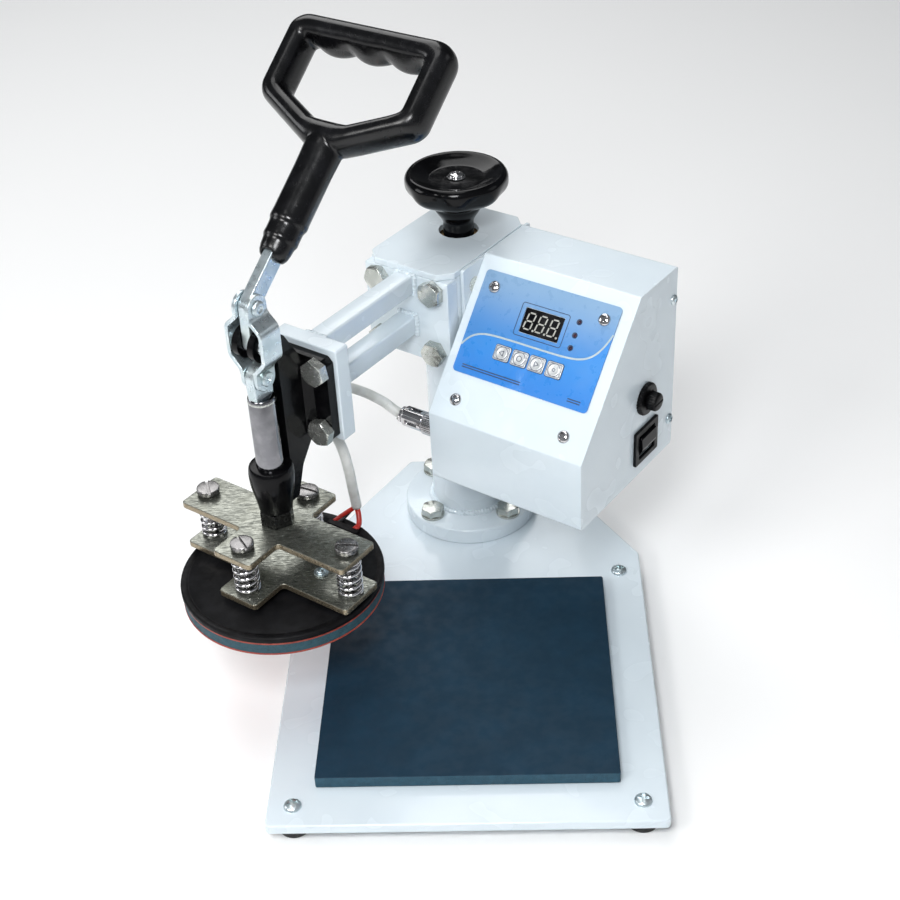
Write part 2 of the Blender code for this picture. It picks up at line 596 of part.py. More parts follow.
def make_plunger(plunger):
    """A chromed rod with a tongue on top and, below the barrel, nuts that hold the upper cross plate."""
    hole = 8.0
    top = P2_Z - 16
    stem = [(0, 140), (hole, 140), (hole, UPPER_CROSS_TOP + 0.2), (ROD_RADIUS, UPPER_CROSS_TOP + 0.2),
            (ROD_RADIUS, top - 1), (ROD_RADIUS - 1, top), (0, top)]
    ear = arc((0, P2_Z), 9.5, 0, 180, 8) + [(-8.8, top - 2), (8.8, top - 2)]
    hexagon = regular(22 / math.sqrt(3), 6)
    body = joined(turned(stem, sides=24), prism(ear, -TONGUE_HALF, TONGUE_HALF, "X"),
                  prism(hexagon, UPPER_CROSS_TOP + GAP, 171),
                  prism(hexagon, 144, UPPER_CROSS_TOP - CROSS_THICKNESS - GAP))
    piece("plunger_rod", finished(cut(body, rod(PIN_BORE, -15, 15, "X", (0, P2_Z), 16))), "chrome", plunger)

    offset = PLATEN_Y - PLUNGER_Y
    plate = moved(prism(cross_outline(), UPPER_CROSS_TOP - CROSS_THICKNESS, UPPER_CROSS_TOP),
                  Matrix.Translation((0, offset, 0)))
    holes = [rod(3.4, 150, 162, centre=(x, y + offset), sides=12) for x, y in GUIDES]
    plate = cut(plate, rod(hole + GAP, 150, 162, sides=24), *holes)
    piece("upper_cross_plate", finished(plate), "plated", plunger)

    low, high = LOWER_CROSS_TOP + GAP, UPPER_CROSS_TOP - CROSS_THICKNESS - GAP
    spring = finished(coil(8.2, 1.5, low, high, 5))
    for name, (x, y) in zip(("right", "left", "rear", "front"), GUIDES):
        piece("spring_" + name, spring, "steel", plunger, at=(x, y + offset, 0))


def make_platen(platen):
    """The floating stack: a cross plate with four guide screws, the heater disc and its silicone face."""
    plate = prism(cross_outline(), LOWER_CROSS_TOP - CROSS_THICKNESS, LOWER_CROSS_TOP)
    seat = UPPER_CROSS_TOP + GAP
    guides = []
    for x, y in GUIDES:
        screw = [(0, LOWER_CROSS_TOP - 2), (3, LOWER_CROSS_TOP - 2), (3, seat), (8.5, seat), (8.5, seat + 5.2),
                 (7.7, seat + 6), (0, seat + 6)]
        slot = box((x - 9, y - 1, seat + 4), (x + 9, y + 1, seat + 7))
        guides.append(cut(turned(screw, centre=(x, y), sides=16), slot))
    piece("lower_cross_plate", finished(joined(plate, *guides)), "plated", platen)

    edge = 1.6
    disc = turned([(0, DISC_BOTTOM), (DISC_RADIUS - edge / 2, DISC_BOTTOM), (DISC_RADIUS, DISC_BOTTOM + edge),
                   (DISC_RADIUS, DISC_TOP - edge), (DISC_RADIUS - edge, DISC_TOP), (0, DISC_TOP)], sides=48)
    low_plate = LOWER_CROSS_TOP - CROSS_THICKNESS
    bosses = [rod(5, DISC_TOP - 1, low_plate - GAP, centre=(x, y), sides=12)
              for x, y in ((45, 0), (-45, 0), (0, 25), (0, -25))]
    piece("heater_disc", finished(joined(disc, *bosses)), "black_disc", platen)

    face = [(0, PLATEN_BOTTOM), (DISC_RADIUS - 1, PLATEN_BOTTOM), (DISC_RADIUS - 1, DISC_BOTTOM - GAP),
            (0, DISC_BOTTOM - GAP)]
    piece("platen_silicone", finished(turned(face, sides=48)), "red_sheet", platen)


# ---------------------------------------------------------------- control box

def box_profile(inset):
    """The box seen from its side: a sloped panel above a vertical front."""
    slope = inset * math.tan(PANEL_TILT / 2)
    low = PANEL_LOW_Z - inset * math.tan((math.pi / 2 - PANEL_TILT) / 2)
    return [(BOX_FRONT + inset, BOX_BOTTOM + inset), (BOX_REAR - inset, BOX_BOTTOM + inset),
            (BOX_REAR - inset, BOX_TOP - inset), (PANEL_HIGH_Y + slope, BOX_TOP - inset),
            (BOX_FRONT + inset, low)]


def on_panel(mesh):
    """A mesh drawn flat (x, along the slope, out of it) laid on the sloped panel."""
    return moved(mesh, Matrix.Translation((0, BOX_FRONT, PANEL_LOW_Z)) @ Matrix.Rotation(PANEL_TILT, 4, "X"))


def panel_cutters(low, high):
    """What both the sloped wall and its overlay are cut by: window, keys and indicator lamps."""
    made = [box((WINDOW[0], WINDOW[2], low), (WINDOW[1], WINDOW[3], high))]
    width, height = KEY_WIDTH / 2 + 0.4, KEY_HEIGHT / 2 + 0.4
    for x in KEYS.values():
        made.append(box((x - width, KEY_ALONG - height, low), (x + width, KEY_ALONG + height, high)))
    made += [rod(1.9, low, high, centre=(LED_X, along), sides=10) for along in LED_ALONG]
    return made


def make_box_shell(head):
    shell = prism(box_profile(0), BOX_LEFT, BOX_RIGHT, "X")
    shell = bevelled(shell, 1.5)
    cavity = prism(box_profile(WALL), BOX_LEFT + WALL, BOX_RIGHT - WALL, "X")
    spacers = [rod(6, HOUSING_HALF + GAP, BOX_LEFT + 1, "X", spot, 16)
               for spot in ((-40, 225), (-40, 270), (24, 225), (24, 270))]
    shell = cut(joined(shell, *spacers), cavity)
    vents = [box((x, -60, BOX_BOTTOM - 2), (x + 3, 0, BOX_BOTTOM + 5)) for x in range(90, 130, 8)]
    openings = [on_panel(mesh) for mesh in panel_cutters(-5, 5)]
    openings += [rod(7.3, BOX_RIGHT - 5, BOX_RIGHT + 5, "X", (FUSE_Y, FUSE_Z), 20),
                 box((BOX_RIGHT - 5, SWITCH_Y - 13.8, SWITCH_Z - 11.8), (BOX_RIGHT + 5, SWITCH_Y + 13.8, SWITCH_Z + 11.8)),
                 rod(8.3, BOX_LEFT - 5, BOX_LEFT + 5, "X", (SOCKET_Y, SOCKET_Z), 20)]
    piece("control_box_shell", finished(cut(shell, *vents, *openings)), "white_paint", head)


def make_panel(head, panel):
    outline = rounded(rectangle(48.5, 165.6, 36.5, 117), 3.0)
    overlay = cut(prism(outline, GAP, GAP + 0.8), *panel_cutters(-5, 5))
    piece("control_panel", finished(overlay), "overlay", panel)

    x0, x1, low, high = WINDOW
    module = box((x0 - 2, low - 2, -11), (x1 + 2, high + 2, -WALL - GAP))
    glass = box((x0 + GAP, low + GAP, -4), (x1 - GAP, high - GAP, 0.2))
    lamp_block = box((x1 - 1, low - 2, -11), (LED_X + 3, high + 2, -6))
    lamps = [turned([(0, -8), (1.6, -8), (1.6, 0.8), (1.1, 1.5), (0, 1.7)], centre=(LED_X, along), sides=10)
             for along in LED_ALONG]
    piece("display_module", finished(joined(module, glass, lamp_block, *lamps)), "display", panel)
    piece("control_board", finished(box((55, 40, -16), (160, 112, -14.4))), "board", panel)
    piece("transformer", finished(bevelled(box((58, -62, BOX_BOTTOM + 2.3), (106, -14, 172)), 2)), "steel", head)

    key = finished(bevelled(box((-KEY_WIDTH / 2, -KEY_HEIGHT / 2, -3), (KEY_WIDTH / 2, KEY_HEIGHT / 2, 2.2)), 0.6))
    for name, x in KEYS.items():
        piece(name, key, "key_silver", panel, at=(x, KEY_ALONG, 0))


def make_side_fittings(head):
    wall = BOX_RIGHT + GAP
    outer = box((wall, SWITCH_Y - 17, SWITCH_Z - 15), (wall + 2.2, SWITCH_Y + 17, SWITCH_Z + 15))
    body = box((150, SWITCH_Y - 13.5, SWITCH_Z - 11.5), (wall + 1, SWITCH_Y + 13.5, SWITCH_Z + 11.5))
    pocket = box((164, SWITCH_Y - 11.5, SWITCH_Z - 10.3), (wall + 9, SWITCH_Y + 11.5, SWITCH_Z + 10.3))
    piece("switch_frame", finished(cut(joined(bevelled(outer, 0.7), body), pocket)), "black_plastic", head)
    section = [(-4, -8), (4.5, -8.6), (6.8, 0), (4.5, 8.6), (-4, 8)]
    tilt = Matrix.Rotation(math.radians(10), 4, "Y")
    rocker = moved(prism(section, -11, 11, "Y"), tilt)
    piece("power_rocker", finished(rocker), "black_plastic", head, at=(ROCKER_X, SWITCH_Y, SWITCH_Z))

    holder = [(5.4, 150), (6.9, 150), (6.9, wall), (13, wall), (13, wall + 2.6), (12, wall + 3.4), (5.4, wall + 3.4)]
    piece("fuse_holder", finished(turned(holder, "X", (FUSE_Y, FUSE_Z), 24)), "black_plastic", head)
    seat = wall + 3.4 + GAP - BOX_RIGHT
    cap = turned([(0, -20), (5, -20), (5, seat), (7.4, seat), (7.4, 11.5), (6.6, 12.4), (0, 12.4)], "X", sides=20)
    cap = cut(cap, box((11, -6, -0.8), (14, 6, 0.8)))
    piece("fuse_cap", finished(cap), "black_plastic", head, at=(BOX_RIGHT, FUSE_Y, FUSE_Z))

    plug = [(0, 54), (8, 54), (8, BOX_LEFT - GAP), (10, BOX_LEFT - GAP), (10, 38), (8.6, 38), (8.6, 12), (7.2, 10.5),
            (7.2, 2), (5.5, -2), (0, -2)]
    piece("cable_connector", finished(turned(plug, "X", (SOCKET_Y, SOCKET_Z), 24)), "chrome", head)


# ---------------------------------------------------------------- cable

def smooth_route(corners, step):
    """Points about one step apart on a Catmull-Rom curve through the corners."""
    points = [Vector(c) for c in corners]
    points = [2 * points[0] - points[1]] + points + [2 * points[-1] - points[-2]]
    route = []
    for a, b, c, d in zip(points, points[1:], points[2:], points[3:]):
        count = max(1, round((c - b).length / step))
        for i in range(count):
            t = i / count
            route.append(0.5 * (2 * b + (c - a) * t + (2 * a - 5 * b + 4 * c - d) * t ** 2
                                + (3 * b - a - 3 * c + d) * t ** 3))
    return route + [points[-2]]


def make_cable(head):
    curve = bpy.data.curves.new("heater_cable", "CURVE")
    curve.dimensions = "3D"
    curve.bevel_depth = CABLE_RADIUS * MM
    curve.bevel_resolution = 2
    curve.use_fill_caps = True
    route = smooth_route(CABLE_ROUTE, CABLE_STEP)
    spline = curve.splines.new("POLY")
    spline.points.add(len(route) - 1)
    for point, place in zip(spline.points, route):
        point.co = (*(place * MM), 1)
    piece("heater_cable", curve, "cable", head)


def main():
    clear_scene()
    machine = empty("machine", at=(POST_X, POST_Y, 0))
    lift = empty("head_height_axis", machine)
    knob = empty("knob_axis", lift)
    head = empty("head_swing_axis", lift, turn=(0, 0, HEAD_ANGLE))
    handle = empty("handle_axis", head, (0, PLUNGER_Y, P0_Z))
    link = empty("link_axis", handle, (0, 0, CRANK))
    plunger = empty("plunger_axis", head, (0, PLUNGER_Y, 0))
    platen = empty("platen_axis", plunger, (0, PLATEN_Y - PLUNGER_Y, 0))
    panel = empty("panel_frame", head, (0, BOX_FRONT, PANEL_LOW_Z), (PANEL_TILT, 0, 0))

    make_base(machine)
    make_post(machine)
    make_height_screw(lift, knob)
    make_head(head)
    make_clamp(head)
    make_lever(handle)
    make_link(link)
    make_plunger(plunger)
    make_platen(platen)
    make_box_shell(head)
    make_panel(head, panel)
    make_side_fittings(head)
    make_cable(head)


main()
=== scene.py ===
"""The looks of a swing-away plate heat press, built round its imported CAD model.

Shapes are drawn in millimetres in one of four frames: the machine's (its origin where the post's axis meets
the floor), the head's (turned with the arm, which runs along its -y), the grip's (z along the D-handle) and
the panel's (x to the right, y up the slope, z out of it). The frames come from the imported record's joints,
and places come from the CAD nodes' boxes in those frames.
"""

import json
import math

import bmesh
import bpy
from mathutils import Matrix, Vector, noise


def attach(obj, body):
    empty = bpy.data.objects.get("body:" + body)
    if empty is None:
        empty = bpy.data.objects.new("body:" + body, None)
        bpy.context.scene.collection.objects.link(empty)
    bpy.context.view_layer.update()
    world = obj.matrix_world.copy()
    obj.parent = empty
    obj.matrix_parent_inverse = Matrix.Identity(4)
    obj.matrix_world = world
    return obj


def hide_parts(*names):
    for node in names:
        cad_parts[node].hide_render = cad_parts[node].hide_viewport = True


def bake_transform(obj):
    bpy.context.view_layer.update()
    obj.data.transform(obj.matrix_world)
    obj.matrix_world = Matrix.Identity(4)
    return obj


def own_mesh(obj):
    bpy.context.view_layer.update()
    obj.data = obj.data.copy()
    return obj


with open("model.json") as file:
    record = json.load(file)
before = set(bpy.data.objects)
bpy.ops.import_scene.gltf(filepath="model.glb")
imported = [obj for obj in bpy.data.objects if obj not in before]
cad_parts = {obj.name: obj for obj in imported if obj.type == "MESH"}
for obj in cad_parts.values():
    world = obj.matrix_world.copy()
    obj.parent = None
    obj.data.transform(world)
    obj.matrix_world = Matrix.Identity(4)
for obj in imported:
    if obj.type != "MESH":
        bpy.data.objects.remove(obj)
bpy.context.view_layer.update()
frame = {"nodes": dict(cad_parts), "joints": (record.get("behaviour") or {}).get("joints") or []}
joints = {joint["name"]: joint for joint in frame["joints"]}

MM = 0.001
GAP = 0.3  # clearance that the CAD leaves between neighbouring pieces


# ---------------------------------------------------------------- frames

def axes(x_axis, y_axis, z_axis, origin):
    """The matrix that takes millimetres along these axes to metres in the row frame."""
    matrix = Matrix((x_axis, y_axis, z_axis)).transposed().to_4x4()
    return Matrix.Translation(origin) @ matrix @ Matrix.Scale(MM, 4)


def span(node, place):
    """Lowest and highest corner of a CAD node along the axes of this frame, in millimetres."""
    back = place.inverted()
    points = [back @ vertex.co for vertex in frame["nodes"][node].data.vertices]
    low = Vector([min(p[i] for p in points) for i in range(3)])
    high = Vector([max(p[i] for p in points) for i in range(3)])
    return low, high


def middle(node, place):
    low, high = span(node, place)
    return (low + high) / 2


UP = Vector((0, 0, 1))
post_axis = Vector((*joints["head_swing"]["pos_m"][:2], 0))
arm_side = Vector(joints["handle_pull"]["axis"])
MACHINE = axes(Vector((1, 0, 0)), Vector((0, 1, 0)), UP, post_axis)
HEAD = axes(arm_side, UP.cross(arm_side), UP, post_axis)
panel_out = -Vector(joints["down_press"]["axis"])
PANEL = axes(arm_side, panel_out.cross(arm_side), panel_out, post_axis)
P0 = HEAD.inverted() @ Vector(joints["handle_pull"]["pos_m"])
P1 = HEAD.inverted() @ Vector(joints["link_pivot"]["pos_m"])

CAMERA_PLACE = Vector((40.3, -1098.3, 847.2))  # in the machine's frame
CAMERA_PITCH, CAMERA_YAW, CAMERA_ROLL = (math.radians(a) for a in (34.96, -2.943, -3.141))
CAMERA_LENS = 62.84


def make_camera():
    look = Vector((math.sin(CAMERA_YAW) * math.cos(CAMERA_PITCH), math.cos(CAMERA_YAW) * math.cos(CAMERA_PITCH),
                   -math.sin(CAMERA_PITCH)))
    right = Vector((math.cos(CAMERA_YAW), -math.sin(CAMERA_YAW), 0))
    turn = Matrix.Rotation(CAMERA_ROLL, 3, -look)
    right = turn @ right
    data = bpy.data.cameras.new("camera")
    data.lens = CAMERA_LENS
    data.sensor_width = 36
    camera = bpy.data.objects.new("camera", data)
    bpy.context.scene.collection.objects.link(camera)
    rotation = Matrix((right, right.cross(look), -look)).transposed().to_4x4()
    camera.matrix_world = Matrix.Translation(MACHINE @ CAMERA_PLACE) @ rotation
    bpy.context.scene.camera = camera


make_camera()


# ---------------------------------------------------------------- outlines

def rectangle(x0, x1, y0, y1):
    return [(x0, y0), (x1, y0), (x1, y1), (x0, y1)]


def regular(radius, sides, centre=(0, 0), start=0.0):
    """Points of a regular polygon, or of a circle when it has many sides."""
    angles = [start + 2 * math.pi * i / sides for i in range(sides)]
    return [(centre[0] + radius * math.cos(a), centre[1] + radius * math.sin(a)) for a in angles]


def arc(centre, radius, first, last, steps):
    """Points on an arc, both ends included. Angles are in degrees."""
    angles = [math.radians(first + (last - first) * i / steps) for i in range(steps + 1)]
    return [(centre[0] + radius * math.cos(a), centre[1] + radius * math.sin(a)) for a in angles]


def rounded(corners, radius, steps=6):
    """An outline with each corner turned into an arc. One radius serves all corners, or each has its own."""
    radii = radius if isinstance(radius, list) else [radius] * len(corners)
    points = []
    for i, corner in enumerate(corners):
        here = Vector(corner)
        to_last = (Vector(corners[i - 1]) - here).normalized()
        to_next = (Vector(corners[(i + 1) % len(corners)]) - here).normalized()
        if radii[i] == 0:
            points.append(tuple(corner))
            continue
        half = to_last.angle(to_next) / 2
        centre = here + (to_last + to_next).normalized() * radii[i] / math.sin(half)
        first = here + to_last * radii[i] / math.tan(half) - centre
        last = here + to_next * radii[i] / math.tan(half) - centre
        turn = first.angle_signed(last)
        points += [tuple(centre + Matrix.Rotation(-turn * k / steps, 2) @ first) for k in range(steps + 1)]
    return points


def smooth_route(corners, step):
    """Points about one step apart on a Catmull-Rom curve through the corners."""
    points = [Vector(c) for c in corners]
    points = [2 * points[0] - points[1]] + points + [2 * points[-1] - points[-2]]
    route = []
    for a, b, c, d in zip(points, points[1:], points[2:], points[3:]):
        count = max(1, round((c - b).length / step))
        for i in range(count):
            t = i / count
            route.append(0.5 * (2 * b + (c - a) * t + (2 * a - 5 * b + 4 * c - d) * t ** 2
                                + (3 * b - a - 3 * c + d) * t ** 3))
    return route + [points[-2]]


# ---------------------------------------------------------------- solids, in millimetres

def mesh_of(bm):
    bmesh.ops.recalc_face_normals(bm, faces=bm.faces)
    mesh = bpy.data.meshes.new("solid")
    bm.to_mesh(mesh)
    bm.free()
    return mesh


def turned_axes(axis, a, b, height):
    return {"Z": (a, b, height), "X": (height, a, b), "Y": (a, height, b)}[axis]


def prism(outline, low, high, axis="Z"):
    """The outline extruded from low to high. Along Z it lies in XY, along X in YZ, and along Y in XZ."""
    bm = bmesh.new()
    face = bm.faces.new([bm.verts.new(turned_axes(axis, a, b, low)) for a, b in outline])
    top = bmesh.ops.extrude_face_region(bm, geom=[face])["geom"]
    step = turned_axes(axis, 0, 0, high - low)
    bmesh.ops.translate(bm, vec=step, verts=[v for v in top if isinstance(v, bmesh.types.BMVert)])
    return mesh_of(bm)


def box(low, high):
    return prism(rectangle(low[0], high[0], low[1], high[1]), low[2], high[2])


def rod(radius, low, high, axis="Z", centre=(0, 0), sides=48):
    return prism(regular(radius, sides, centre), low, high, axis)


def turned(profile, axis="Z", centre=(0, 0), sides=64, lobes=None):
    """A closed (radius, height) profile turned round an axis; radius 0 is on the axis.
    lobes(radius, angle, height) may change the radius."""
    bm = bmesh.new()
    rings = []
    for radius, height in profile:
        ring = []
        for i in range(sides if radius > 0 else 1):
            angle = 2 * math.pi * i / sides
            r = lobes(radius, angle, height) if lobes else radius
            place = turned_axes(axis, centre[0] + r * math.cos(angle), centre[1] + r * math.sin(angle), height)
            ring.append(bm.verts.new(place))
        rings.append(ring)
    for k, lower in enumerate(rings):
        upper = rings[(k + 1) % len(rings)]
        for i in range(sides):
            j = (i + 1) % sides
            corners = [lower[i % len(lower)], lower[j % len(lower)], upper[j % len(upper)], upper[i % len(upper)]]
            corners = list(dict.fromkeys(corners))
            if len(corners) > 2:
                bm.faces.new(corners)
    bmesh.ops.delete(bm, geom=[v for v in bm.verts if not v.link_faces], context="VERTS")
    return mesh_of(bm)


def combined(operation, base, others):
    scene = bpy.context.scene.collection
    body = bpy.data.objects.new("body", base)
    scene.objects.link(body)
    helpers = []
    for other in others:
        helper = bpy.data.objects.new("helper", other)
        scene.objects.link(helper)
        modifier = body.modifiers.new("combine", "BOOLEAN")
        modifier.operation = operation
        modifier.solver = "EXACT"
        modifier.object = helper
        helpers.append(helper)
    bpy.context.view_layer.update()
    result = bpy.data.meshes.new_from_object(body.evaluated_get(bpy.context.evaluated_depsgraph_get()))
    for obj in (body, *helpers):
        bpy.data.objects.remove(obj, do_unlink=True)
    return result


def cut(base, *others):
    return combined("DIFFERENCE", base, others)


def joined(base, *others):
    return combined("UNION", base, others)


def moved(mesh, matrix):
    mesh.transform(matrix)
    return mesh


def shifted(mesh, *by):
    return moved(mesh, Matrix.Translation(by))


def together(*meshes):
    """Several meshes as one, without a Boolean."""
    bm = bmesh.new()
    for mesh in meshes:
        bm.from_mesh(mesh)
    return mesh_of(bm)


def tube(route, radius, sides=16, closed=False, radii=None):
    """A tube of this radius along the route, with rounded ends when it is open."""
    bm = bmesh.new()
    points = [Vector(p) for p in route]
    count = len(points)
    side = None
    rings = []
    for i, point in enumerate(points):
        after = points[(i + 1) % count] if closed or i < count - 1 else point
        before = points[i - 1] if closed or i > 0 else point
        along = (after - before).normalized()
        if side is None:
            side = along.orthogonal()
        side = (side - along * side.dot(along)).normalized()
        other = along.cross(side)
        r = radii[i] if radii else radius
        rings.append([bm.verts.new(point + r * (side * math.cos(a) + other * math.sin(a)))
                      for a in (2 * math.pi * k / sides for k in range(sides))])
    pairs = list(zip(rings, rings[1:] + rings[:1]))
    for ring, following in pairs if closed else pairs[:-1]:
        for k in range(sides):
            j = (k + 1) % sides
            bm.faces.new([ring[k], ring[j], following[j], following[k]])
    if not closed:
        bm.faces.new(rings[0])
        bm.faces.new(rings[-1])
    return mesh_of(bm)


def weld_bead(route, radius, seed, closed=True):
    """A fillet of weld metal: a tube whose radius swells with each puddle."""
    points = smooth_route(route + ([route[0]] if closed else []), 0.9)
    if closed:
        points = points[:-1]
    swell = [radius * (1 + 0.16 * math.sin(2.1 * i) + 0.22 * noise.noise(p * 0.4 + Vector((seed, 0, 0))))
             for i, p in enumerate(points)]
    return tube(points, radius, 10, closed, swell)


def hexagon_head(flats, height, axis="Z", start=0.0, centre=(0, 0), low=0.0, sign=1):
    """A hexagon head whose top corners are turned off at 30 degrees."""
    corner = flats / math.sqrt(3)
    drop = (corner - flats / 2 * 0.97) * math.tan(math.radians(30))
    cone = [(0, low), (corner + 1, low), (corner + 1, low + sign * (height - drop - 0.6)),
            (flats / 2 * 0.97, low + sign * height), (0, low + sign * height)]
    ends = sorted((low, low + sign * height))
    prism_body = prism(regular(corner, 6, centre, start), ends[0], ends[1], axis)
    return combined("INTERSECT", prism_body, [turned(cone, axis, centre, 96)])


def cross_recess(size, depth, top, centre=(0, 0)):
    """The two blades of a cross-head driver, to cut with."""
    half, blade = size / 2, size / 7
    return [box((centre[0] - half, centre[1] - blade, top - depth), (centre[0] + half, centre[1] + blade, top + 2)),
            box((centre[0] - blade, centre[1] - half, top - depth), (centre[0] + blade, centre[1] + half, top + 2))]


def dome(radius, low, height, edge=0.5, steps=8):
    """The (radius, height) profile of a pan head, from its foot to its top on the axis."""
    profile = [(radius, low), (radius, low + edge)]
    for i in range(1, steps + 1):
        angle = math.pi / 2 * i / steps
        profile.append((radius * math.cos(angle), low + edge + (height - edge) * math.sin(angle)))
    return profile[:-1] + [(0, low + height)]


def pan_screw(radius, height, spin=0.0):
    """A cross-head pan screw standing on z = 0."""
    mesh = turned([(0, -1)] + [(radius * 0.5, -1)] + dome(radius, 0, height), sides=40)
    mesh = cut(mesh, *cross_recess(radius * 1.25, height * 0.62, height))
    return moved(mesh, Matrix.Rotation(spin, 4, "Z"))


# ---------------------------------------------------------------- pieces

def piece(name, mesh, place, look, body, nodes=(), bevel=0.0, segments=2, flat=False, angle=32):
    """One visible piece: its mesh goes from this frame's millimetres to the row frame and rides on a body."""
    mesh.transform(place)
    if place.determinant() < 0:
        mesh.flip_normals()
    obj = bpy.data.objects.new(name, mesh)
    bpy.context.scene.collection.objects.link(obj)
    mesh.materials.clear()
    mesh.materials.append(LOOKS[look])
    if not flat:
        mesh.shade_smooth()
    if bevel:
        modifier = obj.modifiers.new("edges", "BEVEL")
        modifier.width = bevel * MM
        modifier.segments = segments
        modifier.limit_method = "ANGLE"
        modifier.angle_limit = math.radians(angle)
        modifier.miter_outer = "MITER_ARC"
        weighted = obj.modifiers.new("normals", "WEIGHTED_NORMAL")
        weighted.weight = 100
        weighted.keep_sharp = False
    elif not flat:
        mesh.set_sharp_from_angle(angle=math.radians(38))
    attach(obj, body)
    if nodes:
        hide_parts(*nodes)
    return obj


# ---------------------------------------------------------------- materials

class Look:
    """A node material: a Principled shader fed by textures in object space, in millimetres."""

    def __init__(self, name, metallic=0.0, coat=0.0, specular=0.5):
        self.material = bpy.data.materials.new(name)
        self.material.use_nodes = True
        self.tree = self.material.node_tree
        self.shader = self.tree.nodes["Principled BSDF"]
        self.shader.inputs["Metallic"].default_value = metallic
        self.shader.inputs["Coat Weight"].default_value = coat
        self.shader.inputs["Coat Roughness"].default_value = 0.06
        self.shader.inputs["Specular IOR Level"].default_value = specular
        coordinates = self.node("ShaderNodeTexCoord").outputs["Object"]
        scale = self.node("ShaderNodeVectorMath", operation="SCALE")
        self.link(coordinates, scale.inputs[0])
        scale.inputs["Scale"].default_value = 1 / MM
        self.place = scale.outputs[0]

    def node(self, kind, **settings):
        made = self.tree.nodes.new(kind)
        for key, value in settings.items():
            setattr(made, key, value)
        return made

    def link(self, source, target):
        self.tree.links.new(source, target)

    def stretched(self, x, y, z):
        mapping = self.node("ShaderNodeMapping")
        mapping.inputs["Scale"].default_value = (x, y, z)
        self.link(self.place, mapping.inputs["Vector"])
        return mapping.outputs[0]

    def noise(self, size, detail=3.0, place=None, roughness=0.5, distortion=0.0):
        """A noise from 0 to 1 whose lumps are about this many millimetres across."""
        made = self.node("ShaderNodeTexNoise")
        made.inputs["Scale"].default_value = 1 / size
        made.inputs["Detail"].default_value = detail
        made.inputs["Roughness"].default_value = roughness
        made.inputs["Distortion"].default_value = distortion
        self.link(place or self.place, made.inputs["Vector"])
        return made.outputs["Fac"]

    def cells(self, size, feature="F1"):
        made = self.node("ShaderNodeTexVoronoi", feature=feature)
        made.inputs["Scale"].default_value = 1 / size
        self.link(self.place, made.inputs["Vector"])
        return made.outputs["Distance"]

    def sum(self, operation, a, b):
        made = self.node("ShaderNodeMath", operation=operation)
        for socket, value in zip(made.inputs, (a, b)):
            if isinstance(value, (int, float)):
                socket.default_value = value
            else:
                self.link(value, socket)
        return made.outputs[0]

    def spread(self, value, low, high, to_low=0.0, to_high=1.0):
        """The value taken smoothly from one range to another, and held at its ends."""
        made = self.node("ShaderNodeMapRange", interpolation_type="SMOOTHSTEP")
        for name, number in (("From Min", low), ("From Max", high), ("To Min", to_low), ("To Max", to_high)):
            made.inputs[name].default_value = number
        self.link(value, made.inputs["Value"])
        return made.outputs["Result"]

    def mixed(self, share, first, second):
        """Two colours mixed. Each is a colour or a socket."""
        made = self.node("ShaderNodeMix", data_type="RGBA")
        self.link(share, made.inputs["Factor"])
        for socket, value in ((made.inputs[6], first), (made.inputs[7], second)):
            if isinstance(value, tuple):
                socket.default_value = (*value, 1)
            else:
                self.link(value, socket)
        return made.outputs[2]

    def edges(self, radius, low=0.02, high=0.25):
        """Near 1 on sharp edges and 0 on flat faces."""
        rounded_normal = self.node("ShaderNodeBevel", samples=4)
        rounded_normal.inputs["Radius"].default_value = radius * MM
        true_normal = self.node("ShaderNodeNewGeometry").outputs["Normal"]
        dot = self.node("ShaderNodeVectorMath", operation="DOT_PRODUCT")
        self.link(rounded_normal.outputs[0], dot.inputs[0])
        self.link(true_normal, dot.inputs[1])
        return self.spread(self.sum("SUBTRACT", 1.0, dot.outputs["Value"]), low, high)

    def facing(self, axis):
        """How far the surface faces along a row-frame axis, from 0 to 1."""
        normal = self.node("ShaderNodeNewGeometry").outputs["Normal"]
        parts = self.node("ShaderNodeSeparateXYZ")
        self.link(normal, parts.inputs[0])
        return self.sum("ABSOLUTE", parts.outputs[axis], 0.0)

    def colour(self, value):
        if isinstance(value, tuple):
            self.shader.inputs["Base Color"].default_value = (*value, 1)
        else:
            self.link(value, self.shader.inputs["Base Color"])

    def roughness(self, value):
        self.link(value, self.shader.inputs["Roughness"])

    def bumps(self, *layers):
        """Layers of (height socket, depth in millimetres), each added to the last."""
        normal = None
        for height, depth in layers:
            bump = self.node("ShaderNodeBump")
            bump.inputs["Strength"].default_value = 1.0
            bump.inputs["Distance"].default_value = depth * MM
            self.link(height, bump.inputs["Height"])
            if normal:
                self.link(normal, bump.inputs["Normal"])
            normal = bump.outputs["Normal"]
        self.link(normal, self.shader.inputs["Normal"])


def powder_coat(name, colour, shade, worn):
    """Glossy powder coat: orange peel, faint clouding, and a thinner coat along the edges."""
    look = Look(name, coat=0.35)
    clouds = look.mixed(look.spread(look.noise(38), 0.35, 0.7), colour, shade)
    specks = look.spread(look.noise(0.9, 2), 0.72, 0.8)
    clouds = look.mixed(look.sum("MULTIPLY", specks, 0.07), clouds, worn)
    edge = look.sum("MULTIPLY", look.edges(0.9), look.spread(look.noise(6), 0.35, 0.7, 0.1, 0.55))
    look.colour(look.mixed(edge, clouds, worn))
    look.roughness(look.spread(look.noise(26, 1), 0.3, 0.7, 0.23, 0.28))
    look.bumps((look.noise(2.8, 1), 0.005), (look.noise(30, 1), 0.06))
    return look.material


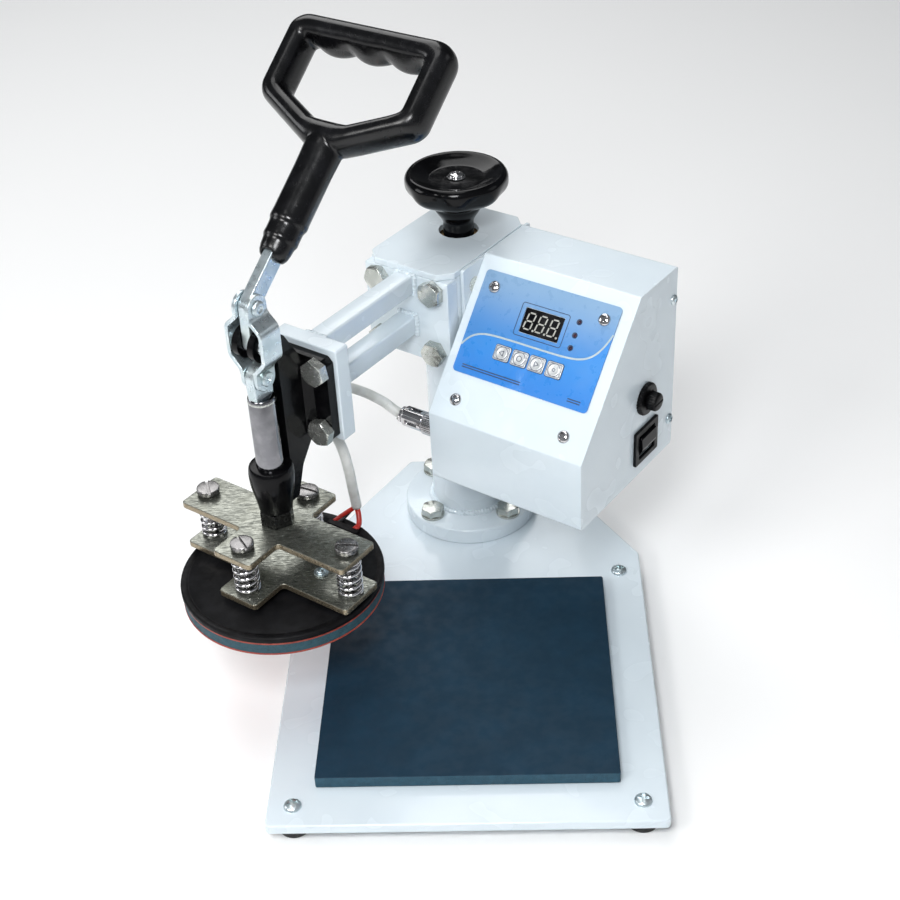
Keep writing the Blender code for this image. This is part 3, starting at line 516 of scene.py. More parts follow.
def casting():
    """Black gloss enamel over a sand casting."""
    look = Look("black_casting", coat=0.03, specular=0.13)
    base = look.mixed(look.spread(look.noise(9), 0.4, 0.7), (0.0015, 0.0015, 0.002), (0.004, 0.004, 0.0045))
    edge = look.sum("MULTIPLY", look.edges(0.8), look.spread(look.noise(4), 0.45, 0.7, 0, 0.4))
    look.colour(look.mixed(edge, base, (0.025, 0.025, 0.027)))
    look.roughness(look.spread(look.noise(5), 0.3, 0.75, 0.14, 0.26))
    look.bumps((look.noise(7, 3), 0.16), (look.noise(0.8, 2), 0.02))
    return look.material


def moulding(name, low, high, grain=0.03, specular=0.2):
    """Glossy black moulded plastic."""
    look = Look(name, specular=specular)
    look.colour(look.mixed(look.spread(look.noise(16), 0.4, 0.7), (0.0012, 0.0012, 0.0016), (0.003, 0.003, 0.004)))
    scuffs = look.spread(look.noise(3.2, 4, look.stretched(1, 0.25, 1)), 0.55, 0.8, 0, 0.12)
    look.roughness(look.sum("ADD", scuffs, look.spread(look.noise(8), 0.3, 0.7, low, high)))
    look.bumps((look.noise(12, 1), 0.1), (look.noise(0.6, 2), grain * 0.4))
    return look.material


def zinc():
    """Bright zinc plate with a faint blue and green passivation bloom."""
    look = Look("zinc", metallic=0.88)
    blue, pale, straw = (0.50, 0.59, 0.63), (0.70, 0.77, 0.80), (0.50, 0.58, 0.53)
    tone = look.mixed(look.spread(look.noise(16, 3, None, 0.5, 0.4), 0.3, 0.7), blue, pale)
    tone = look.mixed(look.spread(look.noise(21, 2), 0.5, 0.75, 0, 0.5), tone, straw)
    look.colour(look.mixed(look.sum("MULTIPLY", look.edges(0.5), 0.4), tone, (0.80, 0.84, 0.85)))
    look.roughness(look.spread(look.noise(4, 4), 0.3, 0.75, 0.26, 0.38))
    look.bumps((look.noise(1.1, 3), 0.006), (look.noise(8, 2), 0.03))
    return look.material


def chrome(name, dark, light):
    """Polished metal with hair scratches round it."""
    look = Look(name, metallic=1.0)
    look.colour(look.mixed(look.spread(look.noise(14), 0.4, 0.7), dark, light))
    rings = look.noise(1.0, 4, look.stretched(0.08, 0.08, 4))
    look.roughness(look.spread(rings, 0.3, 0.75, 0.05, 0.17))
    look.bumps((rings, 0.006),)
    return look.material


def bolt_steel():
    """Nickel-plated bolts, a little dull, with rubbed corners."""
    look = Look("steel", metallic=0.85)
    tone = look.mixed(look.spread(look.noise(9, 3), 0.38, 0.68), (0.42, 0.44, 0.41), (0.60, 0.61, 0.58))
    tone = look.mixed(look.spread(look.noise(3.4, 3), 0.66, 0.8, 0, 0.3), tone, (0.30, 0.30, 0.25))
    look.colour(look.mixed(look.edges(0.6), tone, (0.80, 0.80, 0.78)))
    look.roughness(look.spread(look.noise(3.5, 3), 0.3, 0.75, 0.16, 0.3))
    look.bumps((look.noise(0.9, 2), 0.006), (look.noise(6, 2), 0.04))
    return look.material


def plated():
    """Grey-green plating over rolled plate, its grain along the plate, brassy on its cut edges."""
    look = Look("plated", metallic=0.85)
    grain = look.noise(1.1, 5, look.stretched(0.22, 1.1, 1.0), 0.75)
    tone = look.mixed(look.spread(grain, 0.34, 0.66), (0.085, 0.09, 0.078), (0.38, 0.39, 0.345))
    tone = look.mixed(look.spread(look.noise(20, 2), 0.45, 0.7, 0, 0.5), tone, (0.20, 0.205, 0.17))
    brass = look.sum("MULTIPLY", look.sum("SUBTRACT", 1.0, look.facing(2)), 0.6)
    tone = look.mixed(brass, tone, (0.36, 0.27, 0.16))
    look.colour(look.mixed(look.sum("MULTIPLY", look.edges(0.4), 0.5), tone, (0.66, 0.62, 0.50)))
    look.roughness(look.spread(grain, 0.3, 0.7, 0.38, 0.22))
    look.bumps((grain, 0.007), (look.noise(14, 1), 0.03))
    return look.material


def bronze():
    look = Look("bronze", metallic=1.0)
    look.colour(look.mixed(look.spread(look.noise(6, 4), 0.4, 0.65), (0.14, 0.09, 0.045), (0.25, 0.17, 0.085)))
    look.roughness(look.spread(look.noise(2, 3), 0.3, 0.7, 0.3, 0.5))
    look.bumps((look.noise(0.8, 3), 0.02),)
    return look.material


def disc_black():
    """Satin black anodised plate, faintly turned, greyer on its rubbed rim."""
    look = Look("black_disc", specular=0.12)
    base = look.mixed(look.spread(look.noise(12, 4), 0.35, 0.7), (0.003, 0.003, 0.0035), (0.007, 0.007, 0.008))
    dust = look.spread(look.noise(1.4, 3), 0.68, 0.78, 0, 0.06)
    base = look.mixed(dust, base, (0.16, 0.15, 0.14))
    look.colour(look.mixed(look.sum("MULTIPLY", look.edges(0.9), 0.35), base, (0.05, 0.05, 0.05)))
    look.roughness(look.spread(look.noise(4, 4), 0.3, 0.7, 0.36, 0.58))
    look.bumps((look.noise(0.5, 2), 0.015), (look.noise(30, 1), 0.1))
    return look.material


def sponge(name, top, side, pore_depth):
    """Silicone sponge: a smooth skin on its faces and cut pores on its sides. The sides are painted lighter than the
    tops as painted light, and the pores are painted darker as painted shade.
    """
    look = Look(name, specular=0.3)
    cut_side = look.sum("SUBTRACT", 1.0, look.spread(look.facing(2), 0.3, 0.8))
    pores = look.spread(look.cells(0.9), 0.15, 0.5)
    fine = look.noise(0.6, 3)
    skin = look.mixed(look.spread(look.noise(24, 3), 0.35, 0.7), top, tuple(c * 1.2 for c in top))
    skin = look.mixed(look.spread(fine, 0.6, 0.8, 0, 0.25), skin, tuple(c * 1.5 for c in top))
    # painted light: the cut sides take a lighter colour than the top, and the pores a darker one as painted shade in
    # the pits
    foam_and_painted_light = look.mixed(pores, tuple(c * 0.55 for c in side), side)
    foam_and_painted_light = look.mixed(look.spread(look.noise(5, 3), 0.4, 0.7, 0, 0.5), foam_and_painted_light, tuple(c * 1.35 for c in side))
    look.colour(look.mixed(cut_side, skin, foam_and_painted_light))
    look.roughness(look.spread(look.noise(9), 0.3, 0.7, 0.55, 0.75))
    pits = look.sum("MULTIPLY", pores, cut_side)
    look.bumps((pits, pore_depth), (fine, 0.03), (look.noise(45, 1), 0.4))
    return look.material


def sheet_red():
    look = Look("red_sheet")
    look.colour(look.mixed(look.spread(look.noise(4, 4), 0.35, 0.7), (0.26, 0.030, 0.016), (0.36, 0.065, 0.04)))
    look.roughness(look.spread(look.noise(2, 3), 0.3, 0.7, 0.5, 0.7))
    look.bumps((look.noise(0.4, 2), 0.02),)
    return look.material


def rubber():
    look = Look("rubber")
    look.colour(look.mixed(look.spread(look.noise(3, 4), 0.4, 0.7), (0.010, 0.010, 0.010), (0.03, 0.029, 0.027)))
    look.roughness(look.spread(look.noise(1.5, 3), 0.3, 0.7, 0.6, 0.85))
    look.bumps((look.noise(0.5, 3), 0.05),)
    return look.material


def plain(name, colour, shade, rough=(0.3, 0.45), size=6.0, grain=0.02, metallic=0.0):
    """A small part's finish: two close tones, uneven gloss and a fine grain."""
    look = Look(name, metallic=metallic)
    look.colour(look.mixed(look.spread(look.noise(size, 4), 0.35, 0.7), colour, shade))
    look.roughness(look.spread(look.noise(size / 2, 3), 0.3, 0.7, *rough))
    look.bumps((look.noise(0.6, 2), grain),)
    return look.material


def circuit_board():
    look = Look("board")
    tracks = look.spread(look.cells(4, "DISTANCE_TO_EDGE"), 0.05, 0.09)
    look.colour(look.mixed(tracks, (0.05, 0.32, 0.1), (0.012, 0.14, 0.05)))
    look.roughness(look.spread(look.noise(3), 0.3, 0.7, 0.3, 0.5))
    look.bumps((tracks, 0.03),)
    return look.material


def lead_jacket():
    """Grey-white PVC jacket, scuffed and a little soiled."""
    look = Look("cable")
    tone = look.mixed(look.spread(look.noise(10, 3), 0.35, 0.7), (0.74, 0.75, 0.73), (0.64, 0.65, 0.62))
    tone = look.mixed(look.spread(look.noise(3, 4), 0.62, 0.78, 0, 0.4), tone, (0.42, 0.41, 0.38))
    look.colour(tone)
    look.roughness(look.spread(look.noise(4), 0.3, 0.7, 0.3, 0.5))
    look.bumps((look.noise(2.5, 3), 0.05),)
    return look.material


LOOKS = {
    "white_paint": powder_coat("white_paint", (0.66, 0.74, 0.79), (0.64, 0.72, 0.775), (0.52, 0.57, 0.61)),
    "black_casting": casting(),
    "black_plastic": moulding("black_plastic", 0.09, 0.17),
    "grip_plastic": moulding("grip_plastic", 0.2, 0.27, 0.01, 0.42),
    "satin_plastic": moulding("satin_plastic", 0.3, 0.45, 0.1),
    "zinc": zinc(),
    "chrome": chrome("chrome", (0.58, 0.57, 0.58), (0.72, 0.71, 0.72)),
    # a darker copy of chrome: its low colour is painted shade standing in for the rod's dark reflections
    "shaded_rod_chrome": chrome("shaded_rod_chrome", (0.20, 0.20, 0.215), (0.29, 0.29, 0.305)),
    "steel": bolt_steel(),
    "plated": plated(),
    "bronze": bronze(),
    "black_disc": disc_black(),
    # the second colour of each sponge is for its sides, lighter than the top as painted light
    "silicone": sponge("silicone", (0.004, 0.024, 0.046), (0.030, 0.085, 0.125), 0.25),
    "silicone_band": sponge("silicone_band", (0.018, 0.05, 0.068), (0.026, 0.070, 0.092), 0.12),
    "red_sheet": sheet_red(),
    "rubber": rubber(),
    "display": plain("display", (0.004, 0.004, 0.005), (0.009, 0.009, 0.010), (0.05, 0.12), 8, 0.004),
    "segment": plain("segment", (0.40, 0.40, 0.37), (0.33, 0.33, 0.30), (0.3, 0.4), 3, 0.005),
    "lamp": plain("lamp", (0.035, 0.003, 0.008), (0.06, 0.006, 0.012), (0.06, 0.14), 2, 0.003),
    "key_silver": plain("key_silver", (0.55, 0.57, 0.59), (0.66, 0.68, 0.69), (0.28, 0.42), 3, 0.02, 0.55),
    "screw_grey": plain("screw_grey", (0.22, 0.215, 0.215), (0.30, 0.29, 0.29), (0.2, 0.32), 4, 0.01, 0.9),
    "ink": plain("ink", (0.008, 0.02, 0.06), (0.014, 0.03, 0.08), (0.35, 0.5), 3, 0.004),
    "pale_ink": plain("pale_ink", (0.42, 0.50, 0.52), (0.37, 0.45, 0.48), (0.35, 0.5), 3, 0.004),
    "board": circuit_board(),
    "cable": lead_jacket(),
    "red_wire": plain("red_wire", (0.50, 0.025, 0.015), (0.40, 0.02, 0.012), (0.3, 0.5), 4, 0.03),
    "black_wire": plain("black_wire", (0.008, 0.008, 0.009), (0.02, 0.02, 0.02), (0.3, 0.5), 4, 0.03),
}


# ---------------------------------------------------------------- heater cable

CABLE_RADIUS = 4.0
CABLE_ROUTE = [(-3.2, -85, 163), (-9, -85.2, 164.4), (-18, -87, 170), (-31, -97, 181), (-41, -116, 194),
               (-37, -140, 203), (-20, -159, 205), (-2, -168, 198), (9, -171, 184), (12.5, -170.5, 167), (12.2, -168, 150),
               (10.4, -164.5, 137), (9.2, -162, 126)]
CABLE_BEND = (10, -113, 168), (10, -163.5, 132)  # from the head to the plunger


def hung_between(name, mesh, look, slot, upper, lower, start, end):
    """A piece drawn in the head's frame and baked into the row frame. It rides on no body and does not bend; its slot,
    bodies and places are not used.
    """
    mesh.transform(HEAD)
    mesh.shade_smooth()
    mesh.materials.append(LOOKS[look])
    obj = bpy.data.objects.new(name, mesh)
    bpy.context.scene.collection.objects.link(obj)
    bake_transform(obj)
    return obj


def make_cable():
    route = smooth_route(CABLE_ROUTE, 2.0)
    cable = hung_between("heater_cable_jacket", tube(route, CABLE_RADIUS, 24), "cable", "cable", "head", "plunger",
                         *CABLE_BEND)
    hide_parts("heater_cable")

    end = Vector(CABLE_ROUTE[-1])
    for name, look, radius, corners in (
            ("heater_lead_red", "red_wire", 2.1, [(0.6, -1.2, 6), (1, -0.6, -1), (4, -3, -6), (7, -7.5, -10.6),
                                                  (7.5, -13.5, -10.8)]),
            ("heater_lead_black", "black_wire", 1.3, [(-1.4, 1.4, 6), (-1.2, 1.6, -1.5), (-4, -1, -4.5),
                                                      (-8, -6, -10.5), (-9, -13.5, -11.5)]),
            ("heater_lead_earth", "red_wire", 1.8, [(-1.2, -1.4, 6), (-2, -1, -1.5), (-7, -3.5, -6.5),
                                                    (-11.5, -7.5, -10.6), (-12.5, -13.5, -11)])):
        lead_route = smooth_route([end + Vector(c) for c in corners], 0.8)
        hung_between(name, tube(lead_route, radius, 14), look, "cable", "plunger", "platen", end,
                                  end - Vector((0, 6, 11)))


make_cable()


def make_connector():
    """The round plug in the box's side: panel nut, knurled coupling ring, shell with two flats, clamp and screws."""
    low, high = span("cable_connector", HEAD)
    y, z = middle("cable_connector", HEAD).yz
    wall = span("control_box_shell", HEAD)[0].x + 3.2
    nodes = ("cable_connector",)

    nut = hexagon_head(19, 3.0, "X", math.radians(12), (y, z), wall - 3.5, -1)
    piece("connector_nut", nut, HEAD, "steel", "head", bevel=0.3)

    def knurl(radius, angle, height):
        return radius * (1 + 0.035 * abs(math.sin(15 * angle))) if radius > 8 else radius
    ring = [(0, 22), (8, 22), (8.9, 22.8), (8.9, 34.2), (8, 35), (0, 35)]
    piece("connector_ring", turned(ring, "X", (y, z), 120, knurl), HEAD, "chrome", "head", nodes, bevel=0.2)

    shell = turned([(0, 2), (7.2, 2), (8.3, 4), (8.3, 21.6), (7.4, 22.4), (0, 22.4)], "X", (y, z), 64)
    slots = [box((7, y - 1.6, z + 6.6), (18, y + 1.6, z + 10)), box((7, y - 10, z - 1.6), (18, y - 6.6, z + 1.6))]
    piece("connector_shell", cut(shell, *slots), HEAD, "chrome", "head", bevel=0.25)

    clamp = turned([(0, -1.8), (5.2, -1.8), (6.6, -0.6), (6.6, 2.6), (0, 2.6)], "X", (y, z), 48)
    lug = [box((-0.4, y - 7.6, z - 2.2), (2.4, y - 5, z + 2.2)), box((-0.4, y + 5, z - 2.2), (2.4, y + 7.6, z + 2.2))]
    piece("connector_clamp", together(clamp, *lug), HEAD, "chrome", "head", bevel=0.3)
    for name, side in (("connector_screw_front", -1), ("connector_screw_rear", 1)):
        screw = moved(pan_screw(1.5, 1.2, 0.4), Matrix.Rotation(math.radians(-90), 4, "Y"))
        piece(name, shifted(screw, -0.4, y + side * 6.3, z), HEAD, "steel", "head")


# ---------------------------------------------------------------- base and post

def make_base():
    low, high = span("base_plate", MACHINE)
    corner_x, side_end = 56.0, high.y - 139.5
    outline = [(low.x, low.y), (high.x, low.y), (high.x, side_end), (corner_x, high.y), (-corner_x, high.y),
               (low.x, side_end)]
    plate = prism(rounded(outline, [4, 4, 5, 5, 5, 5]), low.z, high.z)
    piece("base_plate_coated", plate, MACHINE, "white_paint", "base", ("base_plate",), bevel=1.4, segments=4)

    for k, place in enumerate(("front_left", "front_right", "middle_left", "middle_right", "rear_left", "rear_right")):
        node = "foot_" + place
        x, y = middle(node, MACHINE).xy
        tread = [(0, 0.8), (8, 0.8), (8.4, 0), (11, 0), (11.7, 0.5), (12, 1.6), (12.2, 9.6), (11.4, low.z - GAP),
                 (0, low.z - GAP)]
        piece(node + "_rubber", turned(tread, centre=(x, y)), MACHINE, "rubber", "base", (node,), bevel=0.3)
        if not place.startswith("rear"):
            screw = shifted(pan_screw(6.4, 3.6, 0.5 + k), x, y, high.z + 0.05)
            piece(node + "_screw", screw, MACHINE, "zinc", "base")


def make_pad():
    low, high = span("silicone_pad", MACHINE)
    outline = rounded(rectangle(low.x, high.x, low.y, high.y), 1.6, 5)
    pad = piece("press_pad", prism(outline, low.z, high.z), MACHINE, "silicone", "base", ("silicone_pad",), bevel=0.7,
                segments=3)


def make_post():
    low, high = span("post", MACHINE)
    flange, wall, flange_top = high.x, 32.0, low.z + 13.7
    profile = [(22, low.z), (flange - 0.6, low.z), (flange, low.z + 0.6)]
    profile += arc((flange - 1.4, flange_top - 1.4), 1.4, 0, 90, 5)
    profile += [(wall + 5.5, flange_top)]
    profile += arc((wall + 5.2, flange_top + 5.2), 5.0, 270, 180, 6)
    profile += [(wall, 222), (28, 222), (28, high.z), (7.4, high.z), (7.4, 236), (22, 236)]
    piece("post_column", turned(profile, sides=128), MACHINE, "white_paint", "base", ("post",))
    bead = weld_bead([(r, s, flange_top + 1.6) for r, s in regular(wall + 1.6, 24)], 2.2, 3.0)
    piece("post_weld", bead, MACHINE, "white_paint", "base")

    for place in ("front_left", "front_right", "rear_left", "rear_right"):
        node = "post_bolt_" + place
        x, y = middle(node, MACHINE).xy
        top = span(node, MACHINE)[1].z
        washer = turned([(5.2, flange_top + 0.1), (10, flange_top + 0.1), (10, flange_top + 2), (5.2, flange_top + 2)],
                        centre=(x, y))
        piece(node + "_washer", washer, MACHINE, "steel", "base", bevel=0.3)
        turn = math.radians(20 + 13 * (x > 0) - 9 * (y > 0))
        head = hexagon_head(17, top - flange_top - 2, "Z", turn, (x, y), flange_top + 2)
        piece(node + "_head", head, MACHINE, "steel", "base", (node,), bevel=0.35, segments=3)
        under = hexagon_head(17, 8, "Z", turn, (x, y), 11.7, -1)
        shank = turned([(0, 2.2), (4.2, 2.2), (5, 3), (5, 12), (0, 12)], centre=(x, y), sides=32)
        piece(node + "_nut", together(under, shank), MACHINE, "steel", "base", bevel=0.3)


# ---------------------------------------------------------------- height adjustment

def eased(share):
    """A share held between 0 and 1, with a soft start and stop."""
    share = min(max(share, 0.0), 1.0)
    return share * share * (3 - 2 * share)


def make_knob():
    low, high = span("height_knob", MACHINE)
    hub, rim = 12.0, high.x
    lobe_count = 8

    def lobed(radius, angle, height):
        """Finger hollows below the brim, which fade out towards its round upper edge."""
        hollow = 0.5 - 0.5 * math.cos(lobe_count * angle)
        return radius - 2.0 * hollow * eased((radius - 22) / 16) * eased((336 - height) / 13)

    skirt = [(hub, low.z), (hub, 292), (12.1, 296), (13.6, 299.5), (16.6, 304), (18.5, 307.5), (19.6, 310.5),
             (22.5, 312.8), (28.5, 315.4), (34, 318.4), (37.6, 321.6), (39.4, 325)]
    brim = [(rim, 328), (rim, 330.5), (39.6, 333), (38.4, 335.2), (36.8, 336.7), (35.2, high.z), (33.4, 336.5),
            (29, 334.3), (25, 332.7), (22.6, 331.9), (21.6, 331.6), (15, 331.5), (8, 331.6), (3.3, 331.8)]
    profile = [(r, z) for r, z in (tuple(p) for p in smooth_route(skirt + brim, 1.0))]
    profile += [(3.3, 322.4), (8.4, 322.4), (8.4, low.z)]
    knob = turned(profile, sides=192, lobes=lobed)
    piece("height_knob_body", knob, MACHINE, "black_plastic", "knob", ("height_knob",))

    cap_low, cap_high = span("knob_screw", MACHINE)
    flange = turned([(3.2, 331.9), (7.0, 331.9), (7.2, 332.3), (6.8, 332.7), (3.2, 332.7)], sides=64)
    piece("knob_washer", flange, MACHINE, "chrome", "knob")
    screw = shifted(pan_screw(5.9, cap_high.z - 332.5, 0.5), 0, 0, 332.5)
    piece("knob_screw_head", screw, MACHINE, "chrome", "knob", ("knob_screw",))

    screw_low, screw_high = span("height_screw", MACHINE)
    count = 40
    thread = []
    for i in range(count):
        z = screw_low.z + 1 + 1.35 * i
        thread += [(6.2, z), (6.95, z + 0.68)]
    spindle = [(0, screw_low.z), (6, screw_low.z)] + thread + [(7, 272), (14, 272), (14, 276), (8, 276),
                                                               (8, screw_high.z), (0, screw_high.z)]
    piece("height_spindle", turned(spindle, sides=48), MACHINE, "steel", "knob", ("height_screw",))


# ---------------------------------------------------------------- head and arm

HOUSING_BEVEL = 0.9


def make_head():
    low, high = span("head_housing", HEAD)
    shape = prism(rounded(rectangle(low.x, high.x, low.y, high.y), 3.2), low.z, high.z)
    shape = cut(shape, rod(32.6, low.z - 5, high.z + 5, sides=96))
    piece("head_block", shape, HEAD, "white_paint", "head", ("head_housing",), bevel=HOUSING_BEVEL, segments=3)

    low, high = span("head_top_plate", HEAD)
    chamfer = 10.0
    corners = [(low.x + chamfer, low.y), (high.x - chamfer, low.y), (high.x, low.y + chamfer),
               (high.x, high.y - chamfer), (high.x - chamfer, high.y), (low.x + chamfer, high.y),
               (low.x, high.y - chamfer), (low.x, low.y + chamfer)]
    plate = cut(prism(rounded(corners, 1.5, 4), low.z, high.z), rod(15.4, low.z - 5, high.z + 5, sides=72))
    piece("head_cap", plate, HEAD, "white_paint", "head", ("head_top_plate",), bevel=0.8, segments=3)
    sides = [(low.x + 0.6, low.y + chamfer, low.z - 0.6), (low.x + 0.6, high.y - chamfer, low.z - 0.6)]
    piece("cap_weld_left", weld_bead(sides, 1.3, 8.0, closed=False), HEAD, "white_paint", "head")


def make_arm():
    low, high = span("press_arm", HEAD)
    half, front_half = high.x, 29.0
    rear_face, rear_back, front_face, front_back = -70.6, high.y, low.y, low.y + 13.4
    block_low = span("head_housing", HEAD)[0].z
    plate_top = span("head_housing", HEAD)[1].z
    rear = prism(rounded(rectangle(-half, half, block_low, plate_top), 1.5, 3), rear_face, rear_back, "Y")
    piece("arm_rear_plate", rear, HEAD, "white_paint", "head", ("press_arm",), bevel=0.9, segments=3)
    front = prism(rounded(rectangle(-front_half, front_half, low.z, high.z), 1.8, 4), front_face, front_back, "Y")
    piece("arm_front_plate", front, HEAD, "white_paint", "head", bevel=1.0, segments=3)
    bar = 16.0
    for name, top in (("upper", 283.0), ("lower", 248.0)):
        shape = prism(rounded(rectangle(-bar / 2, bar / 2, top - bar, top), 1.6, 4), front_back - 1, rear_face + 1, "Y")
        piece(f"arm_bar_{name}", shape, HEAD, "white_paint", "head")
        for end, y, seed in (("front", front_back + 0.6, 1.0), ("rear", rear_face - 0.6, 5.0)):
            reach_out = bar / 2 + 0.4
            ring = [(-reach_out, top - bar + 1), (-reach_out, top - 1), (-6, top + 0.1), (6, top + 0.1),
                    (reach_out, top - 1), (reach_out, top - bar + 1), (6, top - bar - 0.4), (-6, top - bar - 0.4)]
            route = [(x, y, min(z, high.z - 2)) for x, z in ring]
            piece(f"weld_{name}_{end}", weld_bead(route, 2.0, seed + top), HEAD, "white_paint", "head")


def make_arm_bolts():
    for group, spin in (("arm_bolt_", 10), ("clamp_bolt_", 24)):
        for k, place in enumerate(("upper_left", "upper_right", "lower_left", "lower_right")):
            node = group + place
            low, high = span(node, HEAD)
            x, z = (low.x + high.x) / 2, (low.z + high.z) / 2
            seat = low.y + 6.4
            head = hexagon_head(18, 7.2, "Y", math.radians(spin + 17 * k), (x, z), seat, -1)
            piece(node + "_head", head, HEAD, "steel", "head", (node,), bevel=0.4, segments=3)


def make_clamp():
    """The black casting: a bolted flange with a lipped lower edge, a web, the fork and the plunger's sleeve."""
    low, high = span("clamp_body", HEAD)
    face, half = high.y, high.x
    flange_low, flange_high = 212.0, 280.0
    plunger_y, sleeve_top = P0.y, 209.0
    lower = [(-half, flange_low + 4), (-half + 4, flange_low), (-13, flange_low), (-6, flange_low + 8),
             (6, flange_low + 8), (13, flange_low), (half - 4, flange_low), (half, flange_low + 4)]
    outline = lower + [(half, flange_high - 4), (half - 4, flange_high), (-half + 4, flange_high),
                       (-half, flange_high - 4)]
    flange = prism(rounded(outline, [2, 2, 5, 5, 5, 5, 2, 2, 2, 2, 2, 2], 5), face - 8, face, "Y")
    throat, back = plunger_y + 12.5, plunger_y + 21.0
    web_outline = [(face - 4, 217), (face - 4, 273), (face - 12, 280), (back, P0.z - 3), (throat, P0.z + 4),
                   (throat, sleeve_top - 4), (throat - 4, low.z + 1), (throat + 5, low.z + 1), (throat + 13, 196),
                   (face - 12, 210)]
    web = prism(rounded(web_outline, [0, 0, 6, 3, 0, 0, 0, 2, 12, 8], 6), -7.8, 7.8, "X")
    gusset = prism(rounded([(-13, face - 7), (13, face - 7), (7.5, face - 15), (-7.5, face - 15)], [0, 0, 3, 3], 5),
                   222, 274)
    ear = arc((plunger_y, P0.z), 12, 60, 270, 26) + [(throat + 2, P0.z - 12), (throat + 2, P0.z + 4)]
    ears = [prism(ear, near, far, "X") for near, far in ((4.3, 9.3), (-9.3, -4.3))]
    sleeve = [(12.2, low.z), (12.8, 176), (13.8, 182), (15.4, 190), (16.2, 197), (16.4, 203), (16.0, 206.5),
              (15.2, 208.4), (14, sleeve_top)]
    profile = [tuple(p) for p in smooth_route(sleeve, 1.2)]
    barrel = turned([(0, low.z)] + profile + [(0, sleeve_top)], centre=(0, plunger_y), sides=72)
    casting_mesh = joined(flange, web, barrel, gusset, *ears)
    casting_mesh = cut(casting_mesh, rod(10.1, low.z - 10, sleeve_top + 10, centre=(0, plunger_y), sides=64))
    piece("clamp_casting", casting_mesh, HEAD, "black_casting", "head", ("clamp_body",), bevel=1.0, segments=3)

    piece("pivot_rivet", rivet(9.6, 7.0, 12.0), HEAD @ Matrix.Translation(P0), "zinc", "head", ("lever_pivot_pin",))


def rivet(reach_out, radius, end):
    """A pin along X with a dimpled rivet head on both ends."""
    half = [(0, end - 1.1), (1.6, end - 1.1), (2.4, end - 0.15), (3.0, end), (radius - 1.3, end - 0.1),
            (radius - 0.4, end - 0.7), (radius, end - 1.5), (radius, reach_out), (4, reach_out)]
    profile = [(r, -h) for r, h in half] + half[::-1]
    return turned(profile, "X", sides=56)


# ---------------------------------------------------------------- lever and D-handle

LEAN = math.radians(49.7)
LEVER_HALF = 7.0
BOOT_NOTCH = 38.5  # along the lever from P1, where its front edge goes into the boot
GRIP = HEAD @ Matrix.Translation(P1) @ Matrix.Rotation(-LEAN, 4, "X")


def make_lever():
    """The flat bar from P0 past P1 and up into the handle's boot, drawn in the YZ plane from P0."""
    lean = Vector((math.sin(LEAN), math.cos(LEAN)))
    side = Vector((lean.y, -lean.x))
    p1 = Vector((0, P1.z - P0.z))
    mitre = LEVER_HALF * math.tan(LEAN / 2)
    boot = BOOT_NOTCH + 0.3
    outline = arc((0, 0), LEVER_HALF, 180, 360, 24) + [(LEVER_HALF, p1.y - mitre)]
    outline += [tuple(p1 + lean * along + side * across) for along, across in
                ((boot, LEVER_HALF), (boot, -LEVER_HALF))]
    outline += [tuple(p1 + Vector(p)) for p in arc((0, 0), LEVER_HALF, 180 - math.degrees(LEAN), 180, 10)]
    bar = prism(outline, -4, 4, "X")
    piece("lever_flat", bar, HEAD @ Matrix.Translation(P0), "zinc", "handle", ("lever_bar",), bevel=1.0, segments=4)


def reach(polygon, centre, angle):
    """How far from the centre the polygon lies in this direction."""
    direction = Vector((math.cos(angle), math.sin(angle)))
    best = 0.0
    for start, end in zip(polygon, polygon[1:] + polygon[:1]):
        edge = Vector(end) - Vector(start)
        offset = Vector(start) - Vector(centre)
        across = direction.cross(edge)
        if abs(across) < 1e-9:
            continue
        distance = offset.cross(edge) / across
        fraction = offset.cross(direction) / across
        if distance > 0 and -1e-6 <= fraction <= 1 + 1e-6:
            best = max(best, distance)
    return best


def scallop(x, z, depth):
    """How far the finger bumps under the grip bar stand out, fullest along the bar's far edge."""
    period, height = 31.0, 4.8
    if z < 176 or abs(x) > 1.5 * period:
        return 0.0
    share = (x / period + 0.5) % 1
    return height * (1 - (2 * share - 1) ** 2) * min(1.0, max(0.1, 0.6 + depth / 14))


